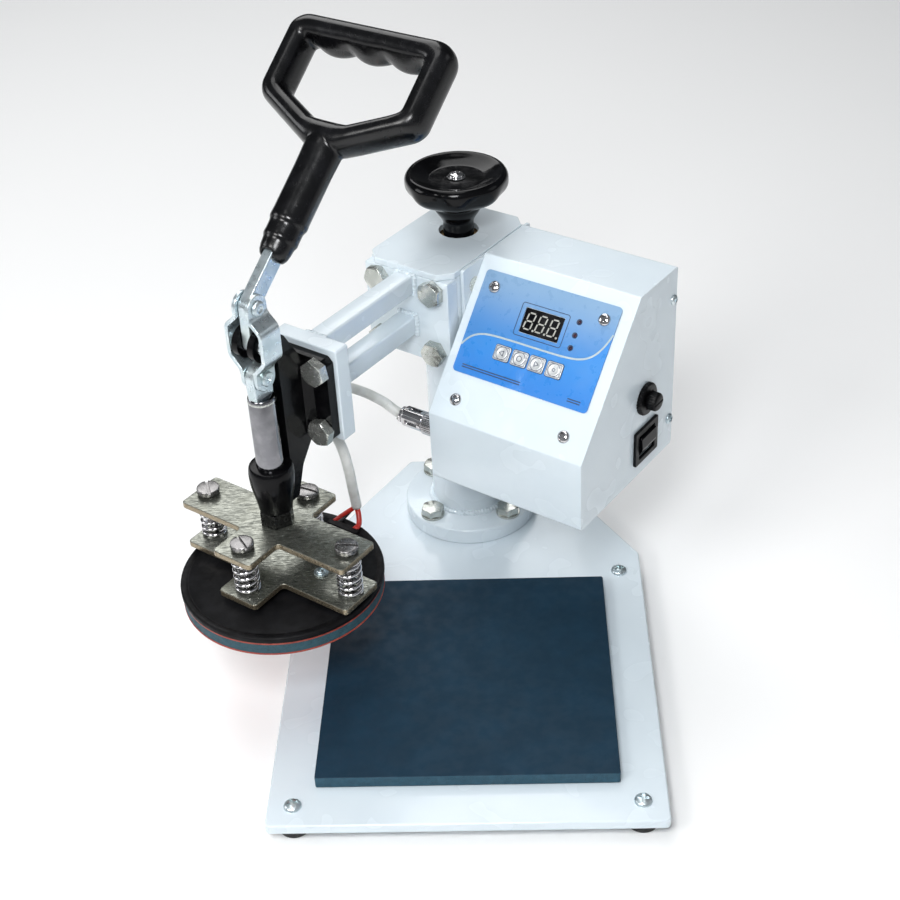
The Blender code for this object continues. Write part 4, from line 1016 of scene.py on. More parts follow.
def make_grip():
    """The D-handle: a round-shouldered ring with finger bumps, a stem stepped at its collar, and a forked boot."""
    low, high = span("handle_grip", GRIP)
    centre = (0.0, 161.0)
    half, top = high.x, high.z
    outer = rounded([(-13, 116), (13, 116), (half, 143), (half, top), (-half, top), (-half, 143)],
                    [8, 8, 13, 13, 13, 13], 10)
    inner = rounded([(-15, 136), (15, 136), (50, 152.5), (50, 190), (-50, 190), (-50, 152.5)], [3, 3, 4, 3, 3, 4], 6)
    stations, sides, power = 230, 28, 2 / 2.35
    bm = bmesh.new()
    rings = []
    for i in range(stations):
        angle = 2 * math.pi * (i + 0.5) / stations
        far, near = reach(outer, centre, angle), reach(inner, centre, angle)
        ring = []
        for k in range(sides):
            turn = 2 * math.pi * (k + 0.5) / sides
            c, s = math.cos(turn), math.sin(turn)
            across = math.copysign(abs(c) ** power, c)
            depth = high.y * math.copysign(abs(s) ** power, s)
            radius = (far + near) / 2 + (far - near) / 2 * across
            x, z = centre[0] + radius * math.cos(angle), centre[1] + radius * math.sin(angle)
            if across < 0:
                z -= scallop(x, z, depth) * min(1.0, -across * 1.4)
            ring.append(bm.verts.new((x, depth, z)))
        rings.append(ring)
    for ring, following in zip(rings, rings[1:] + rings[:1]):
        for k in range(sides):
            j = (k + 1) % sides
            bm.faces.new([ring[k], ring[j], following[j], following[k]])
    loop = mesh_of(bm)
    stem = [(0, 45), (11.3, 45), (11.4, 47.4), (12.3, 48.2), (12.6, 49.6), (12.3, 51.2), (12.3, 58.6), (12.7, 60),
            (13.5, 61), (13.7, 62.6), (13.4, 66), (13.3, 100), (13.5, 108), (13.8, 116), (13.7, 121), (12.8, 126),
            (10.4, 131), (6, 134.3), (0, 135.4)]
    boot = [(0, low.z), (6, low.z), (8.6, low.z + 1.2), (10.2, low.z + 4), (11, low.z + 8), (11.3, 46), (11.3, 47),
            (0, 47)]
    grip = joined(loop, turned(stem, sides=96), turned(boot, sides=96))
    grip = cut(grip, box((-4.3, -20, low.z - 5), (4.3, 20, BOOT_NOTCH)))
    grip = remeshed(grip, 0.85, 8)
    piece("d_handle", grip, GRIP, "grip_plastic", "handle", ("handle_grip",))


def remeshed(mesh, voxel, passes):
    """The mesh as even faces with its corners and joins softened."""
    obj = bpy.data.objects.new("helper", mesh)
    bpy.context.scene.collection.objects.link(obj)
    remesh = obj.modifiers.new("remesh", "REMESH")
    remesh.mode = "VOXEL"
    remesh.voxel_size = voxel
    smooth = obj.modifiers.new("smooth", "SMOOTH")
    smooth.factor = 0.5
    smooth.iterations = passes
    bpy.context.view_layer.update()
    result = bpy.data.meshes.new_from_object(obj.evaluated_get(bpy.context.evaluated_depsgraph_get()))
    bpy.data.objects.remove(obj, do_unlink=True)
    return result


# ---------------------------------------------------------------- link

def make_link():
    """Two bent straps between the lever and the plunger, drawn from P1."""
    place = HEAD @ Matrix.Translation(P1)
    low, high = span("link_strap_right", place)
    ear = high.y
    link = -(low.z + ear)
    side_view = arc((0, 0), ear, 0, 180, 28) + arc((0, -link), ear, 180, 360, 28)
    near, strap, out = 4.3, 3.0, high.x
    for name, side in (("left", -1), ("right", 1)):
        inner = [(near, ear + 1), (near, -7), (out - strap, -15.5), (out - strap, -36.5), (near, 8 - link),
                 (near, -ear - 1 - link)]
        outer = [(near + strap, ear + 1), (near + strap, -5.5), (out, -14), (out, -38), (near + strap, 6.5 - link),
                 (near + strap, -ear - 1 - link)]
        corners = [(side * x, z) for x, z in inner + outer[::-1]]
        outline = rounded(corners, [0, 4, 5, 5, 4, 0, 0, 6, 8, 8, 6, 0], 10)
        front_view = prism(outline, -ear - 5, ear + 5, "Y")
        body = combined("INTERSECT", front_view, [prism(side_view, -30, 30, "X")])
        piece("link_band_" + name, body, place, "zinc", "link", ("link_strap_" + name,), bevel=0.7, segments=3)
        stud = [(0, 1.0), (1.4, 1.0), (2.0, 2.2), (2.6, 2.4), (4.6, 2.2), (5.4, 1.4), (5.5, -0.2), (0, -0.2)]
        stud = [(r, side * (near + strap + h)) for r, h in stud]
        piece("link_stud_" + name, turned(stud, "X", (0, -link), 56), place, "zinc", "link")
    piece("link_rivet", rivet(7.6, 5.6, 10.0), place, "zinc", "link", ("link_pin",))


# ---------------------------------------------------------------- plunger and platen

GUIDE_SPIN = {"right": 0.5, "left": -0.7, "rear": 0.15, "front": -0.45}


def cross_outline(radius):
    low, high = span("upper_cross_plate", HEAD)
    x, y, centre = high.x, (high.y - low.y) / 2, (high.y + low.y) / 2
    arm_x, arm_y = 19.0, 17.5
    quarter = [(x, arm_x), (arm_y, arm_x), (arm_y, y)]
    corners = []
    for sx, sy, order in ((1, 1, 1), (-1, 1, -1), (-1, -1, 1), (1, -1, -1)):
        corners += [(sx * px, centre + sy * py) for px, py in quarter[::order]]
    return rounded(corners, radius, 8)


def make_plunger():
    low, high = span("plunger_rod", HEAD)
    plate_low, plate_high = span("upper_cross_plate", HEAD)
    y = P0.y
    pivot = high.z - 9.5
    shoulder = pivot - 16
    rod_profile = [(0, plate_low.z - 13.5), (7, plate_low.z - 13.5), (8, plate_low.z - 12.5), (8, plate_high.z + 1),
                   (9.8, plate_high.z + 1), (9.8, shoulder - 1.4), (9.4, shoulder - 0.5), (8.6, shoulder), (0, shoulder)]
    # the rod takes the darker chrome copy, painted shade for its dark reflections
    piece("plunger_bar", turned(rod_profile, centre=(0, y), sides=96), HEAD, "shaded_rod_chrome", "plunger", ("plunger_rod",))
    ear = arc((y, pivot), 9.5, 0, 180, 28) + [(y - 8.8, shoulder - 1), (y + 8.8, shoulder - 1)]
    piece("plunger_tongue", prism(ear, -4, 4, "X"), HEAD, "zinc", "plunger", bevel=0.8, segments=3)
    groove = turned([(9.9, shoulder - 4), (10.0, shoulder - 3.6), (10.0, shoulder - 2.9), (9.9, shoulder - 2.5),
                     (9.2, shoulder - 2.5), (9.2, shoulder - 4)], centre=(0, y), sides=96)
    piece("plunger_ring", groove, HEAD, "steel", "plunger")

    nut = hexagon_head(22, 11.9, "Z", math.radians(4), (0, y), plate_high.z + GAP)
    piece("plunger_nut", nut, HEAD, "dark_steel", "plunger", bevel=0.5, segments=3)
    under = hexagon_head(22, 9.4, "Z", math.radians(20), (0, y), plate_low.z - GAP, -1)
    piece("plunger_locknut", under, HEAD, "dark_steel", "plunger", bevel=0.5, segments=3)

    plate = prism(cross_outline(3.2), plate_low.z, plate_high.z)
    piece("cross_plate_upper", plate, HEAD, "plated", "plunger", ("upper_cross_plate",), bevel=0.8, segments=3)

    for name in ("right", "left", "rear", "front"):
        node = "spring_" + name
        low, high = span(node, HEAD)
        x, centre_y = (low.x + high.x) / 2, (low.y + high.y) / 2
        spring = piece(node + "_coil", coil(8.2, 1.35, low.z, high.z, 6.2, (x, centre_y)), HEAD, "chrome", "plunger",
                       (node,))
        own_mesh(spring)


def coil(radius, wire, low, high, turns, centre):
    """A compression spring whose end turns lie closed."""
    steps, closed_turns = 40, 0.9
    route = []
    count = int(turns * steps)
    free = high - low - 2 * wire
    closed_rise = 2 * wire * 0.55
    for i in range(count + 1):
        turn = i / steps
        angle = 2 * math.pi * turn
        inside = min(max((turn - closed_turns) / (turns - 2 * closed_turns), 0.0), 1.0)
        ends = min(turn / closed_turns, 1.0) + max((turn - turns + closed_turns) / closed_turns, 0.0)
        z = low + wire + closed_rise * ends + (free - 2 * closed_rise) * inside
        route.append((centre[0] + radius * math.cos(angle), centre[1] + radius * math.sin(angle), z))
    return tube(route, wire, 14)


def make_platen():
    low, high = span("lower_cross_plate", HEAD)
    upper_top = span("upper_cross_plate", HEAD)[1].z
    thickness = upper_top - span("upper_cross_plate", HEAD)[0].z
    plate = prism(cross_outline(3.2), low.z, low.z + thickness)
    piece("cross_plate_lower", plate, HEAD, "plated", "platen", ("lower_cross_plate",), bevel=0.8, segments=3)
    for name, spin in GUIDE_SPIN.items():
        spot = middle("spring_" + name, HEAD)
        neck, seat = upper_top + GAP, upper_top + 2.1
        profile = [(0, low.z + thickness - 1), (3, low.z + thickness - 1), (3, neck), (5.9, neck), (6.2, seat - 0.4),
                   (6.2, seat), (8.4, seat), (8.5, seat + 0.4), (8.5, high.z - 1.0), (8.1, high.z - 0.4),
                   (6.5, high.z - 0.05), (0, high.z)]
        head = cut(turned(profile, sides=72), box((-10, -1.0, high.z - 2.1), (10, 1.0, high.z + 2)))
        turn = Matrix.Translation((spot.x, spot.y, 0)) @ Matrix.Rotation(spin, 4, "Z")
        piece(f"guide_screw_{name}", head, HEAD @ turn, "screw_grey", "platen", bevel=0.25)

    disc_low, disc_high = span("heater_disc", HEAD)
    radius, centre_y = disc_high.x, (disc_low.y + disc_high.y) / 2
    top = 113.0
    profile = [(0, disc_low.z), (radius - 1, disc_low.z), (radius - 0.2, disc_low.z + 0.4), (radius, disc_low.z + 1.2),
               (radius, top - 1.8)]
    profile += arc((radius - 1.5, top - 1.5), 1.5, 10, 90, 6)
    profile += [(radius - 5, top), (radius - 5.4, top - 0.3), (radius - 6, top - 0.3), (radius - 6.4, top), (0, top)]
    disc = turned(profile, centre=(0, centre_y), sides=192)
    piece("heater_plate", disc, HEAD, "black_disc", "platen", ("heater_disc",))
    for k, (x, y) in enumerate(((45, 0), (-45, 0), (0, 25), (0, -25))):
        post = [(0, top - 0.5), (5.4, top - 0.5), (5, top + 0.6), (5, low.z - 0.1), (0, low.z - 0.1)]
        piece(f"standoff_{k}", turned(post, centre=(x, centre_y + y), sides=48), HEAD, "steel", "platen")
    block = prism(rounded(rectangle(-7, 21, centre_y + 61, centre_y + 66.5), 1.5, 4), top - 0.1, top + 3.0)
    piece("heater_terminal", block, HEAD, "black_disc", "platen", bevel=0.5)
    screw = shifted(together(pan_screw(3.6, 2.6, 0.4), turned([(0, -1.2), (5.2, -1.2), (5.4, -0.6), (5.2, 0), (0, 0)],
                                                             sides=48)), 34, centre_y + 5, low.z + thickness + 1.3)
    piece("cross_plate_screw", screw, HEAD, "zinc", "platen")

    face_low, face_high = span("platen_silicone", HEAD)
    face = face_high.x
    layers = (("heater_red_edge", face_high.z - 1.3, face_high.z, face + 0.3, "red_sheet"),
              ("heater_sponge", face_low.z + 1.3, face_high.z - 1.3, face, "silicone_band"),
              ("heater_red_face", face_low.z, face_low.z + 1.3, face + 0.3, "red_sheet"))
    for k, (name, z0, z1, r, look) in enumerate(layers):
        ring = turned([(0, z0), (r - 0.2, z0), (r, z0 + 0.2), (r, z1 - 0.2), (r - 0.2, z1), (0, z1)],
                      centre=(0, centre_y), sides=192)
        nodes = ("platen_silicone",) if k == 0 else ()
        piece(name, ring, HEAD, look, "platen", nodes)


# ---------------------------------------------------------------- control box

def box_outline(inset, radius):
    """The box seen from its side, its folds rounded: a sloped panel above a vertical front."""
    low, high = span("control_box_shell", HEAD)
    front, rear, bottom, top = low.y, high.y, low.z, high.z
    face = span("control_panel", PANEL)[0].z - GAP
    tilt = math.acos(panel_out.z)
    # the panel's plane meets the vertical front and the flat top
    def on_face(y):
        return (face + y * math.sin(tilt)) / math.cos(tilt)
    fold_z = on_face(front)
    fold_y = (top * math.cos(tilt) - face) / math.sin(tilt)
    slope = inset * math.tan(tilt / 2)
    low_fold = fold_z - inset * math.tan((math.pi / 2 - tilt) / 2)
    corners = [(front + inset, bottom + inset), (rear - inset, bottom + inset), (rear - inset, top - inset),
               (fold_y + slope, top - inset), (front + inset, low_fold)]
    return rounded(corners, radius, 6) if radius else corners


def make_box_shell():
    low, high = span("control_box_shell", HEAD)
    left = 41.4
    wall = 2.0
    shell = prism(box_outline(0, 2.2), left, high.x, "X")
    cavity = prism(box_outline(wall, 0), left + wall, high.x - wall, "X")
    vents = [box((x, -60, low.z - 2), (x + 3, 0, low.z + 5)) for x in range(90, 130, 8)]
    window_low, window_high = span("display_module", PANEL)
    keys_low, keys_high = span("down_key", PANEL)[0], span("mode_key", PANEL)[1]
    face = span("control_panel", PANEL)[0].z
    pocket = moved(box((keys_low.x - 1, keys_low.y - 1, face - 6), (keys_high.x + 1, keys_high.y + 1, face + 4)),
                   HEAD.inverted() @ PANEL)
    window = moved(box((window_low.x + 3, window_low.y + 3, face - 6), (window_high.x - 2, window_high.y - 3, face + 4)),
                   HEAD.inverted() @ PANEL)
    piece("control_box_cover", cut(shell, cavity, pocket, window, *vents), HEAD, "white_paint", "head",
          ("control_box_shell",), bevel=1.3, segments=3, angle=50)
    for k, (y, z) in enumerate(((-40, 225), (-40, 270), (24, 225), (24, 270))):
        spacer = turned([(0, low.x), (5.6, low.x), (6, low.x + 0.4), (6, left + 0.2), (0, left + 0.2)], "X", (y, z), 48)
        piece(f"box_spacer_{k}", spacer, HEAD, "steel", "head")

    house_low, house_high = span("head_housing", HEAD)
    mount = rounded(rectangle(house_low.y + 4, house_high.y - 2, house_low.z + 3, span("head_top_plate", HEAD)[1].z - 1), 2, 4)
    mount = prism(mount, house_high.x + 0.15, left - 0.15, "X")
    piece("box_mounting_plate", mount, HEAD, "white_paint", "head", bevel=0.5)

    side = high.x
    for k, z in enumerate((157, 263)):
        screw = moved(pan_screw(4.2, 2.6, 0.3 + k), Matrix.Rotation(math.radians(90), 4, "Y"))
        piece(f"side_screw_{k}", shifted(screw, side, high.y - 5.2, z), HEAD, "zinc", "head")
    back_low, back_high = box_outline(0, 0)[0][1], high.z
    seam = box((left + 5, high.y, low.z + 5), (side - 5, high.y + 0.5, back_high - 5))
    piece("box_back_cover", seam, HEAD, "white_paint", "head", bevel=0.4)
    for k, (x, z) in enumerate(((left + 11, low.z + 12), (side - 11, low.z + 12), (left + 11, high.z - 12),
                                (side - 11, high.z - 12))):
        screw = moved(pan_screw(3.6, 2.2, 0.7 * k), Matrix.Rotation(math.radians(-90), 4, "X"))
        piece(f"back_screw_{k}", shifted(screw, x, high.y + 0.4, z), HEAD, "zinc", "head")


def curve_height(x, low_x, high_x, base):
    """The overlay's light line: level, dropping away at its left end and rising at its right."""
    return base + 34.0 - 14.0 * math.exp(-(x - low_x) / 7.0) + 27.0 * math.exp(-(high_x - x) / 7.5)


def overlay_look():
    """Printed film: a pale sky above the light line and a stronger blue below it, in fine print dots."""
    low, high = span("control_panel", PANEL)
    look = Look("overlay", coat=0.15)
    across, up = PANEL.to_3x3().col[0].normalized(), PANEL.to_3x3().col[1].normalized()
    start = (PANEL @ low) / MM

    def along(direction):
        offset = look.node("ShaderNodeVectorMath", operation="SUBTRACT")
        look.link(look.place, offset.inputs[0])
        offset.inputs[1].default_value = start
        dot = look.node("ShaderNodeVectorMath", operation="DOT_PRODUCT")
        look.link(offset.outputs[0], dot.inputs[0])
        dot.inputs[1].default_value = direction
        return dot.outputs["Value"]
    u, v = along(across), along(up)
    width = high.x - low.x

    def falling(distance, scale, size):
        share = look.sum("DIVIDE", distance, -scale)
        return look.sum("MULTIPLY", look.sum("EXPONENT", share, 0.0), size)
    line = look.sum("ADD", look.sum("SUBTRACT", 34.0, falling(u, 7.0, 14.0)),
                    falling(look.sum("SUBTRACT", width, u), 7.5, 27.0))
    above = look.spread(look.sum("SUBTRACT", v, line), -0.4, 0.4)
    lower = look.mixed(look.spread(v, 0, 34), (0.011, 0.185, 0.60), (0.030, 0.225, 0.62))
    upper = look.mixed(look.spread(v, 34, 80.5), (0.045, 0.215, 0.55), (0.20, 0.34, 0.52))
    tone = look.mixed(above, lower, upper)
    dots = look.spread(look.cells(0.55), 0.2, 0.5, 0.0, 0.03)
    tone = look.mixed(dots, tone, (0.16, 0.35, 0.66))
    tone = look.mixed(look.spread(look.noise(40, 2), 0.4, 0.75, 0, 0.05), tone, (0.45, 0.55, 0.68))
    look.colour(tone)
    look.roughness(look.spread(look.noise(6), 0.3, 0.7, 0.26, 0.38))
    look.bumps((look.noise(0.5, 2), 0.004),)
    return look.material


def ring_outline(outer, inner, low, high):
    """A flat frame between two outlines with equal numbers of points."""
    bm = bmesh.new()
    rings = [[bm.verts.new((*p, z)) for p in outline]
             for outline, z in ((outer, low), (outer, high), (inner, high), (inner, low))]
    for ring, following in zip(rings, rings[1:] + rings[:1]):
        for i in range(len(ring)):
            j = (i + 1) % len(ring)
            bm.faces.new([ring[i], ring[j], following[j], following[i]])
    return mesh_of(bm)


def framed(x0, x1, y0, y1, width, radius, low, high):
    outer = rounded(rectangle(x0 - width, x1 + width, y0 - width, y1 + width), radius + width, 6)
    return ring_outline(outer, rounded(rectangle(x0, x1, y0, y1), radius, 6), low, high)


def make_panel():
    LOOKS["overlay"] = overlay_look()
    low, high = span("control_panel", PANEL)
    module_low, module_high = span("display_module", PANEL)
    keys = {name: (span(name, PANEL)) for name in ("down_key", "set_key", "up_key", "mode_key")}
    x0, x1, y0, y1 = module_low.x + 2, module_low.x + 35.5, module_low.y + 2, module_high.y - 2
    lamp_x = module_high.x - 3
    lamp_ys = (y0 - 0.2, y0 + 9.5, y1 + 0.2)

    film = prism(rounded(rectangle(low.x, high.x, low.y, high.y), 3.2, 8), low.z, high.z)
    cutters = [box((x0, y0, low.z - 3), (x1, y1, high.z + 3))]
    for key_low, key_high in keys.values():
        outline = rounded(rectangle(key_low.x - 0.4, key_high.x + 0.4, key_low.y - 0.4, key_high.y + 0.4), 1.6, 5)
        cutters.append(prism(outline, low.z - 3, high.z + 3))
    cutters += [rod(1.9, low.z - 3, high.z + 3, centre=(lamp_x, y), sides=28) for y in lamp_ys]
    piece("panel_film", cut(film, *cutters), PANEL, "overlay", "head", ("control_panel",), bevel=0.12)

    top = high.z
    ink = top + 0.06
    frame_mesh = framed(x0 - 3.4, x1 + 3.2, y0 - 2.4, y1 + 2.6, 0.55, 1.6, top - 0.2, ink)
    piece("display_frame_line", frame_mesh, PANEL, "ink", "head")

    glass = prism(rounded(rectangle(x0 + GAP, x1 - GAP, y0 + GAP, y1 - GAP), 0.6, 4), top - 4, top - 0.35)
    piece("display_window", glass, PANEL, "display", "head", ("display_module",), bevel=0.15)
    make_digits(x0, x1, y0, y1, top - 0.35)
    for k, y in enumerate(lamp_ys):
        bezel = [(1.15, top - 1.2), (1.15, top - 0.15), (1.8, top + 0.02), (2.3, top + 0.04), (2.3, top - 0.3),
                 (1.85, top - 1.2)]
        piece(f"lamp_bezel_{k}", turned(bezel, centre=(lamp_x, y), sides=40), PANEL, "ink", "head")
        lens = dome(1.15, top - 1.4, 1.5, 0.4)
        piece(f"lamp_{k}", turned([(0, top - 1.4)] + lens, centre=(lamp_x, y), sides=32), PANEL, "lamp", "head")

    for k, (name, body) in enumerate((("down_key", "down_button"), ("set_key", "set_button"), ("up_key", "up_button"),
                                      ("mode_key", "mode_button"))):
        make_key(name, body, k, *keys[name], top)

    line_count = 90
    upper_line, lower_line = [], []
    for i in range(line_count + 1):
        x = low.x + 0.3 + (high.x - low.x - 0.6) * i / line_count
        y = min(curve_height(x, low.x, high.x, low.y), high.y - 18)
        slope = (curve_height(x + 0.1, low.x, high.x, low.y) - curve_height(x - 0.1, low.x, high.x, low.y)) / 0.2
        normal = Vector((-slope, 1)).normalized() * 0.7
        upper_line.append((x + normal.x, y + normal.y))
        lower_line.append((x - normal.x, y - normal.y))
    curve = prism(upper_line + lower_line[::-1], top - 0.1, ink)
    piece("panel_light_line", curve, PANEL, "pale_ink", "head", flat=True)

    for k, (x_from, x_to) in enumerate(((low.x + 7, low.x + 58.5), (high.x - 18, high.x - 7))):
        for j, y in enumerate((low.y + 4.4, low.y + 6.2)):
            bar = prism(rounded(rectangle(x_from, x_to, y, y + 0.85), 0.3, 3), top - 0.1, ink)
            piece(f"panel_rule_{k}_{j}", bar, PANEL, "ink", "head")

    face = low.z - GAP
    for k, (x, y, seat) in enumerate(((low.x + 11.2, high.y - 12, top), (high.x - 11, high.y - 12, top),
                                      (low.x + 11.2, low.y - 20.5, face), (high.x - 11, low.y - 20.5, face))):
        screw = shifted(pan_screw(4.8, 2.9, 0.35 + 0.8 * k), x, y, seat)
        piece(f"panel_screw_{k}", screw, PANEL, "chrome", "head")


def make_digits(x0, x1, y0, y1, top):
    """Three unlit seven-segment figures with their points, on a slant."""
    height, width, stroke = (y1 - y0) * 0.64, (x1 - x0) * 0.175, 1.15
    centre_y = (y0 + y1) / 2
    slant = 0.13
    segments = []
    for k in range(3):
        centre_x = x0 + (x1 - x0) * (0.185 + 0.30 * k)
        half_h, half_w = height / 2, width / 2
        for y in (-half_h, 0, half_h):
            segments.append([(-half_w + 0.9, y), (half_w - 0.9, y), centre_x])
        for x in (-half_w, half_w):
            for low, high in ((-half_h + 0.9, -0.9), (0.9, half_h - 0.9)):
                segments.append([(x, low), (x, high), centre_x])
        point = regular(0.85, 20, (centre_x + half_w + 2.0, centre_y - half_h))
        piece(f"digit_point_{k}", prism(point, top - 0.1, top + 0.12), PANEL, "segment", "head")
    bm_parts = []
    for (start, end, centre_x) in segments:
        a, b = Vector(start), Vector(end)
        along = (b - a).normalized()
        side = Vector((-along.y, along.x)) * stroke / 2
        tip = along * stroke / 2
        outline = [a - tip * 0.6, a + side, b + side, b + tip * 0.6, b - side, a - side]
        outline = [(centre_x + p.x + slant * p.y, centre_y + p.y) for p in outline]
        bm_parts.append(prism(outline, top - 0.1, top + 0.12))
    piece("digit_segments", together(*bm_parts), PANEL, "segment", "head", flat=True)


def make_key(name, body, k, key_low, key_high, top):
    """A silver key with a dished round centre, an outline, and one of four plain symbols."""
    cx, cy = (key_low.x + key_high.x) / 2, (key_low.y + key_high.y) / 2
    x0, x1, y0, y1 = key_low.x, key_high.x, key_low.y, key_high.y
    seat = key_high.z - 0.3
    cap = prism(rounded(rectangle(x0, x1, y0, y1), 1.6, 5), key_low.z, seat)
    piece(name + "_cap", cap, PANEL, "key_silver", body, (name,), bevel=0.35, segments=3)
    dish = [(4.7, seat - 0.2), (4.7, seat + 0.05), (4.3, seat + 0.24), (3.8, seat + 0.26), (3.2, seat + 0.12),
            (2.2, seat + 0.08), (0, seat + 0.06), (0, seat - 0.2)]
    piece(name + "_dish", turned(dish, centre=(cx, cy), sides=64), PANEL, "key_silver", body)
    mark = seat + 0.07
    lines = [framed(x0 + 1.0, x1 - 1.0, y0 + 1.0, y1 - 1.0, 0.35, 1.2, seat - 0.1, mark),
             ring_outline(regular(5.05, 48, (cx, cy)), regular(4.65, 48, (cx, cy)), seat - 0.1, mark)]
    outline = framed(x0 - 0.05, x1 + 0.05, y0 - 0.05, y1 + 0.05, 0.4, 1.6, top - 0.3, top + 0.05)
    piece(name + "_outline", outline, PANEL, "ink", "head")
    face = seat + 0.06
    if name in ("down_key", "up_key"):
        side = -1 if name == "down_key" else 1
        outer = [(cx - side * 1.5, cy + 2.3), (cx - side * 1.5, cy - 2.3), (cx + side * 2.5, cy)]
        centre = Vector((cx - side * 0.15, cy))
        inner = [tuple(centre + (Vector(p) - centre) * 0.66) for p in outer]
        lines.append(ring_outline(outer, inner, face, face + 0.1))
    else:
        radius = 1.3 if name == "mode_key" else 2.2
        lines.append(ring_outline(regular(radius, 32, (cx, cy)), regular(radius - 0.45, 32, (cx, cy)), face, face + 0.1))
    piece(name + "_symbol", together(*lines), PANEL, "ink", body, flat=True)


def make_side_fittings():
    wall = span("control_box_shell", HEAD)[1].x
    low, high = span("switch_frame", HEAD)
    y, z = (low.y + high.y) / 2, (low.z + high.z) / 2
    half_y, half_z = (high.y - low.y) / 2, (high.z - low.z) / 2
    bezel = cut(prism(rounded(rectangle(y - half_y, y + half_y, z - half_z, z + half_z), 1.2, 4), wall, high.x, "X"),
                box((wall - 2, y - 11.7, z - 10.5), (high.x + 2, y + 11.7, z + 10.5)))
    piece("switch_bezel", bezel, HEAD, "satin_plastic", "head", ("switch_frame",), bevel=0.5)
    well = box((wall - 9, y - 13, z - 11.4), (wall - 6.5, y + 13, z + 11.4))
    piece("switch_well", well, HEAD, "satin_plastic", "head", bevel=0.4)

    hinge = Vector(joints["power_rock"]["pos_m"])
    place = Matrix.Translation(hinge) @ Matrix.Translation(HEAD @ Vector((0, 0, 0))).inverted() @ HEAD
    tilt = Matrix.Rotation(math.radians(10), 4, "Y")
    section = rounded([(-4, -8), (3.4, -9.4), (4.6, -9.0), (7.4, -1.0), (7.4, 0.8), (5.2, 9.2), (4.0, 9.4), (-4, 8)],
                      [0, 0.5, 0.8, 1.2, 1.2, 0.8, 0.5, 0], 4)
    rocker = moved(prism(section, -11, 11, "Y"), tilt)
    piece("power_rocker_cap", rocker, place, "black_plastic", "rocker", ("power_rocker",), bevel=0.45, segments=3)
    ring = ring_outline(regular(1.7, 32), regular(1.2, 32), 0, 0.14)
    lean = Matrix.Translation((6.0, 0, -5.0)) @ Matrix.Rotation(math.radians(90 + 19.3), 4, "Y")
    piece("power_mark", moved(ring, tilt @ lean), place, "pale_ink", "rocker", flat=True)

    fy, fz = middle("fuse_holder", HEAD).yz
    fuse_face = span("fuse_holder", HEAD)[1].x

    def ribbed(radius, angle, height):
        return radius - (0.35 if radius > 11 and math.sin(30 * angle) > 0.2 else 0)
    flange = [(5.4, wall), (12.9, wall), (13, wall + 0.4), (13, fuse_face - 1.2), (12, fuse_face), (8.2, fuse_face),
              (7.8, fuse_face - 0.7), (5.4, fuse_face - 0.7)]
    piece("fuse_collar", turned(flange, "X", (fy, fz), 240, ribbed), HEAD, "satin_plastic", "head", ("fuse_holder",))
    cap_low, cap_high = span("fuse_cap", HEAD)
    seat = fuse_face + GAP

    def knurled(radius, angle, height):
        return radius - (0.3 * abs(math.sin(14 * angle)) if radius > 6.8 else 0)
    cap = [(0, wall - 6), (4.8, wall - 6), (4.8, seat), (7.2, seat), (7.4, seat + 0.4), (7.2, cap_high.x - 1.6),
           (6.4, cap_high.x - 0.5), (5.6, cap_high.x), (0, cap_high.x)]
    cap = cut(turned(cap, "X", (fy, fz), 168, knurled), box((cap_high.x - 1.4, fy - 6, fz - 0.8),
                                                              (cap_high.x + 2, fy + 6, fz + 0.8)))
    piece("fuse_cap_turned", cap, HEAD, "satin_plastic", "fuse_cover", ("fuse_cap",))


# ---------------------------------------------------------------- hidden CAD nodes

def finish_hidden_nodes():
    """The pieces inside keep their CAD shapes and take the same finishes as their neighbours."""
    for node, look in (("thrust_bearing", "bronze"), ("post_bush", "bronze"), ("control_board", "board"),
                       ("transformer", "steel")):
        mesh = frame["nodes"][node].data
        mesh.materials.clear()
        mesh.materials.append(LOOKS[look])


# ---------------------------------------------------------------- stage

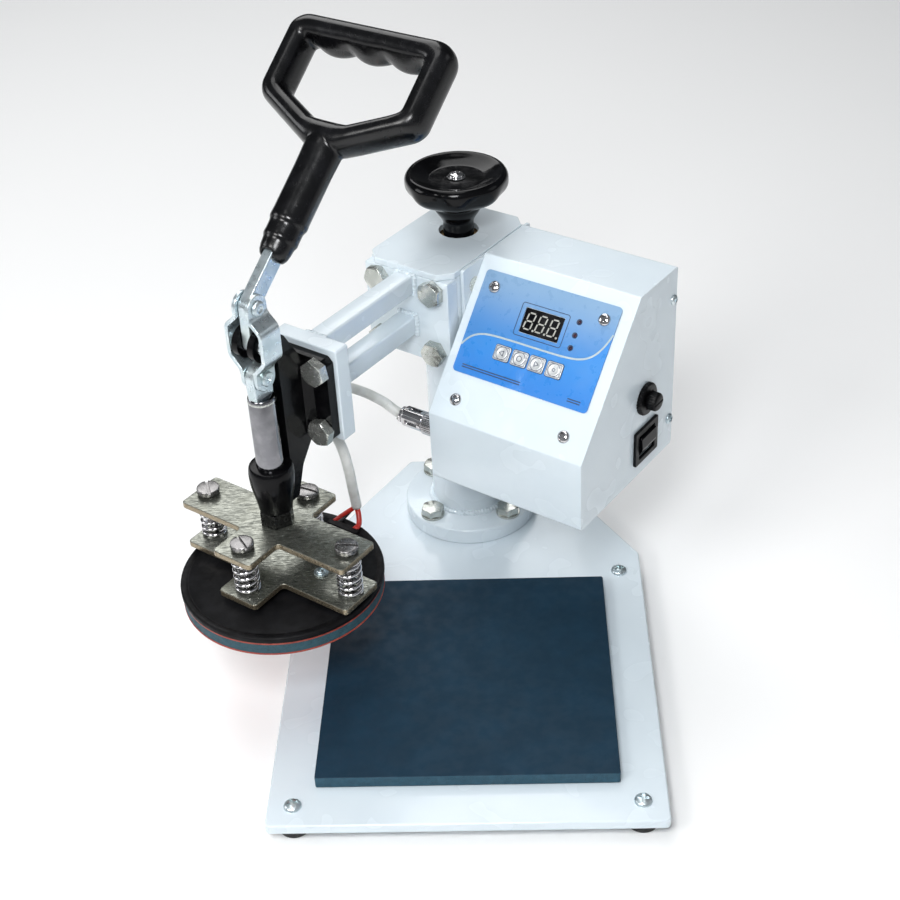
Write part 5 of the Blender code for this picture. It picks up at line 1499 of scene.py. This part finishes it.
def make_stage():
    floor_look = Look("floor")
    floor_look.colour(floor_look.mixed(floor_look.noise(400), (0.93, 0.93, 0.93), (0.95, 0.95, 0.945)))
    floor_look.shader.inputs["Roughness"].default_value = 0.7
    size = 6000
    floor = bpy.data.objects.new("floor", prism(rectangle(-size, size, -size, size), -20, -0.1))
    floor.data.transform(Matrix.Scale(MM, 4))
    floor.data.materials.append(floor_look.material)
    bpy.context.scene.collection.objects.link(floor)

    world = bpy.data.worlds.new("studio")
    bpy.context.scene.world = world
    world.use_nodes = True
    tree = world.node_tree
    place = tree.nodes.new("ShaderNodeTexCoord")
    parts = tree.nodes.new("ShaderNodeSeparateXYZ")
    ramp = tree.nodes.new("ShaderNodeMapRange")
    for value, socket in zip((-0.9, 0.5, 0.34, 0.07), ("From Min", "From Max", "To Min", "To Max")):
        ramp.inputs[socket].default_value = value
    tree.links.new(place.outputs["Generated"], parts.inputs[0])
    tree.links.new(parts.outputs["Y"], ramp.inputs["Value"])
    background = tree.nodes["Background"]
    background.inputs["Color"].default_value = (0.9, 0.95, 1.0, 1)
    tree.links.new(ramp.outputs["Result"], background.inputs["Strength"])
    bpy.context.scene.view_settings.view_transform = "Standard"

    for name, place, size, power, colour in (
            ("key", (-1.3, -1.4, 1.6), 0.7, 19, (1.0, 0.99, 0.97)),
            ("front", MACHINE @ CAMERA_PLACE + Vector((-0.15, 0, 0.3)), 0.35, 11, (0.98, 0.99, 1.0)),
            ("top", (-0.2, 0.0, 2.4), 1.2, 11, (1.0, 1.0, 1.0)),
            ("back", (-0.5, 1.7, 2.3), 1.8, 31, (1.0, 1.0, 1.0)),
            ("right", (1.8, 0.1, 1.0), 0.7, 1, (0.97, 0.98, 1.0)),
            ("left", (-1.9, 0.1, 0.9), 0.7, 6, (0.97, 0.98, 1.0))):
        data = bpy.data.lights.new(name, "AREA")
        data.shape = "SQUARE"
        data.size = size
        data.energy = power
        data.color = colour
        light = bpy.data.objects.new(name, data)
        bpy.context.scene.collection.objects.link(light)
        light.location = place
        light.rotation_euler = (Vector((0, 0, 0.2)) - Vector(place)).to_track_quat("-Z", "Y").to_euler()


LOOKS["dark_steel"] = plain("dark_steel", (0.05, 0.05, 0.052), (0.10, 0.10, 0.10), (0.22, 0.4), 4, 0.03, 1.0)

make_connector()
make_base()
make_pad()
make_post()
make_knob()
make_head()
make_arm()
make_arm_bolts()
make_clamp()
make_lever()
make_grip()
make_link()
make_plunger()
make_platen()
make_box_shell()
make_panel()
make_side_fittings()
finish_hidden_nodes()
make_stage()
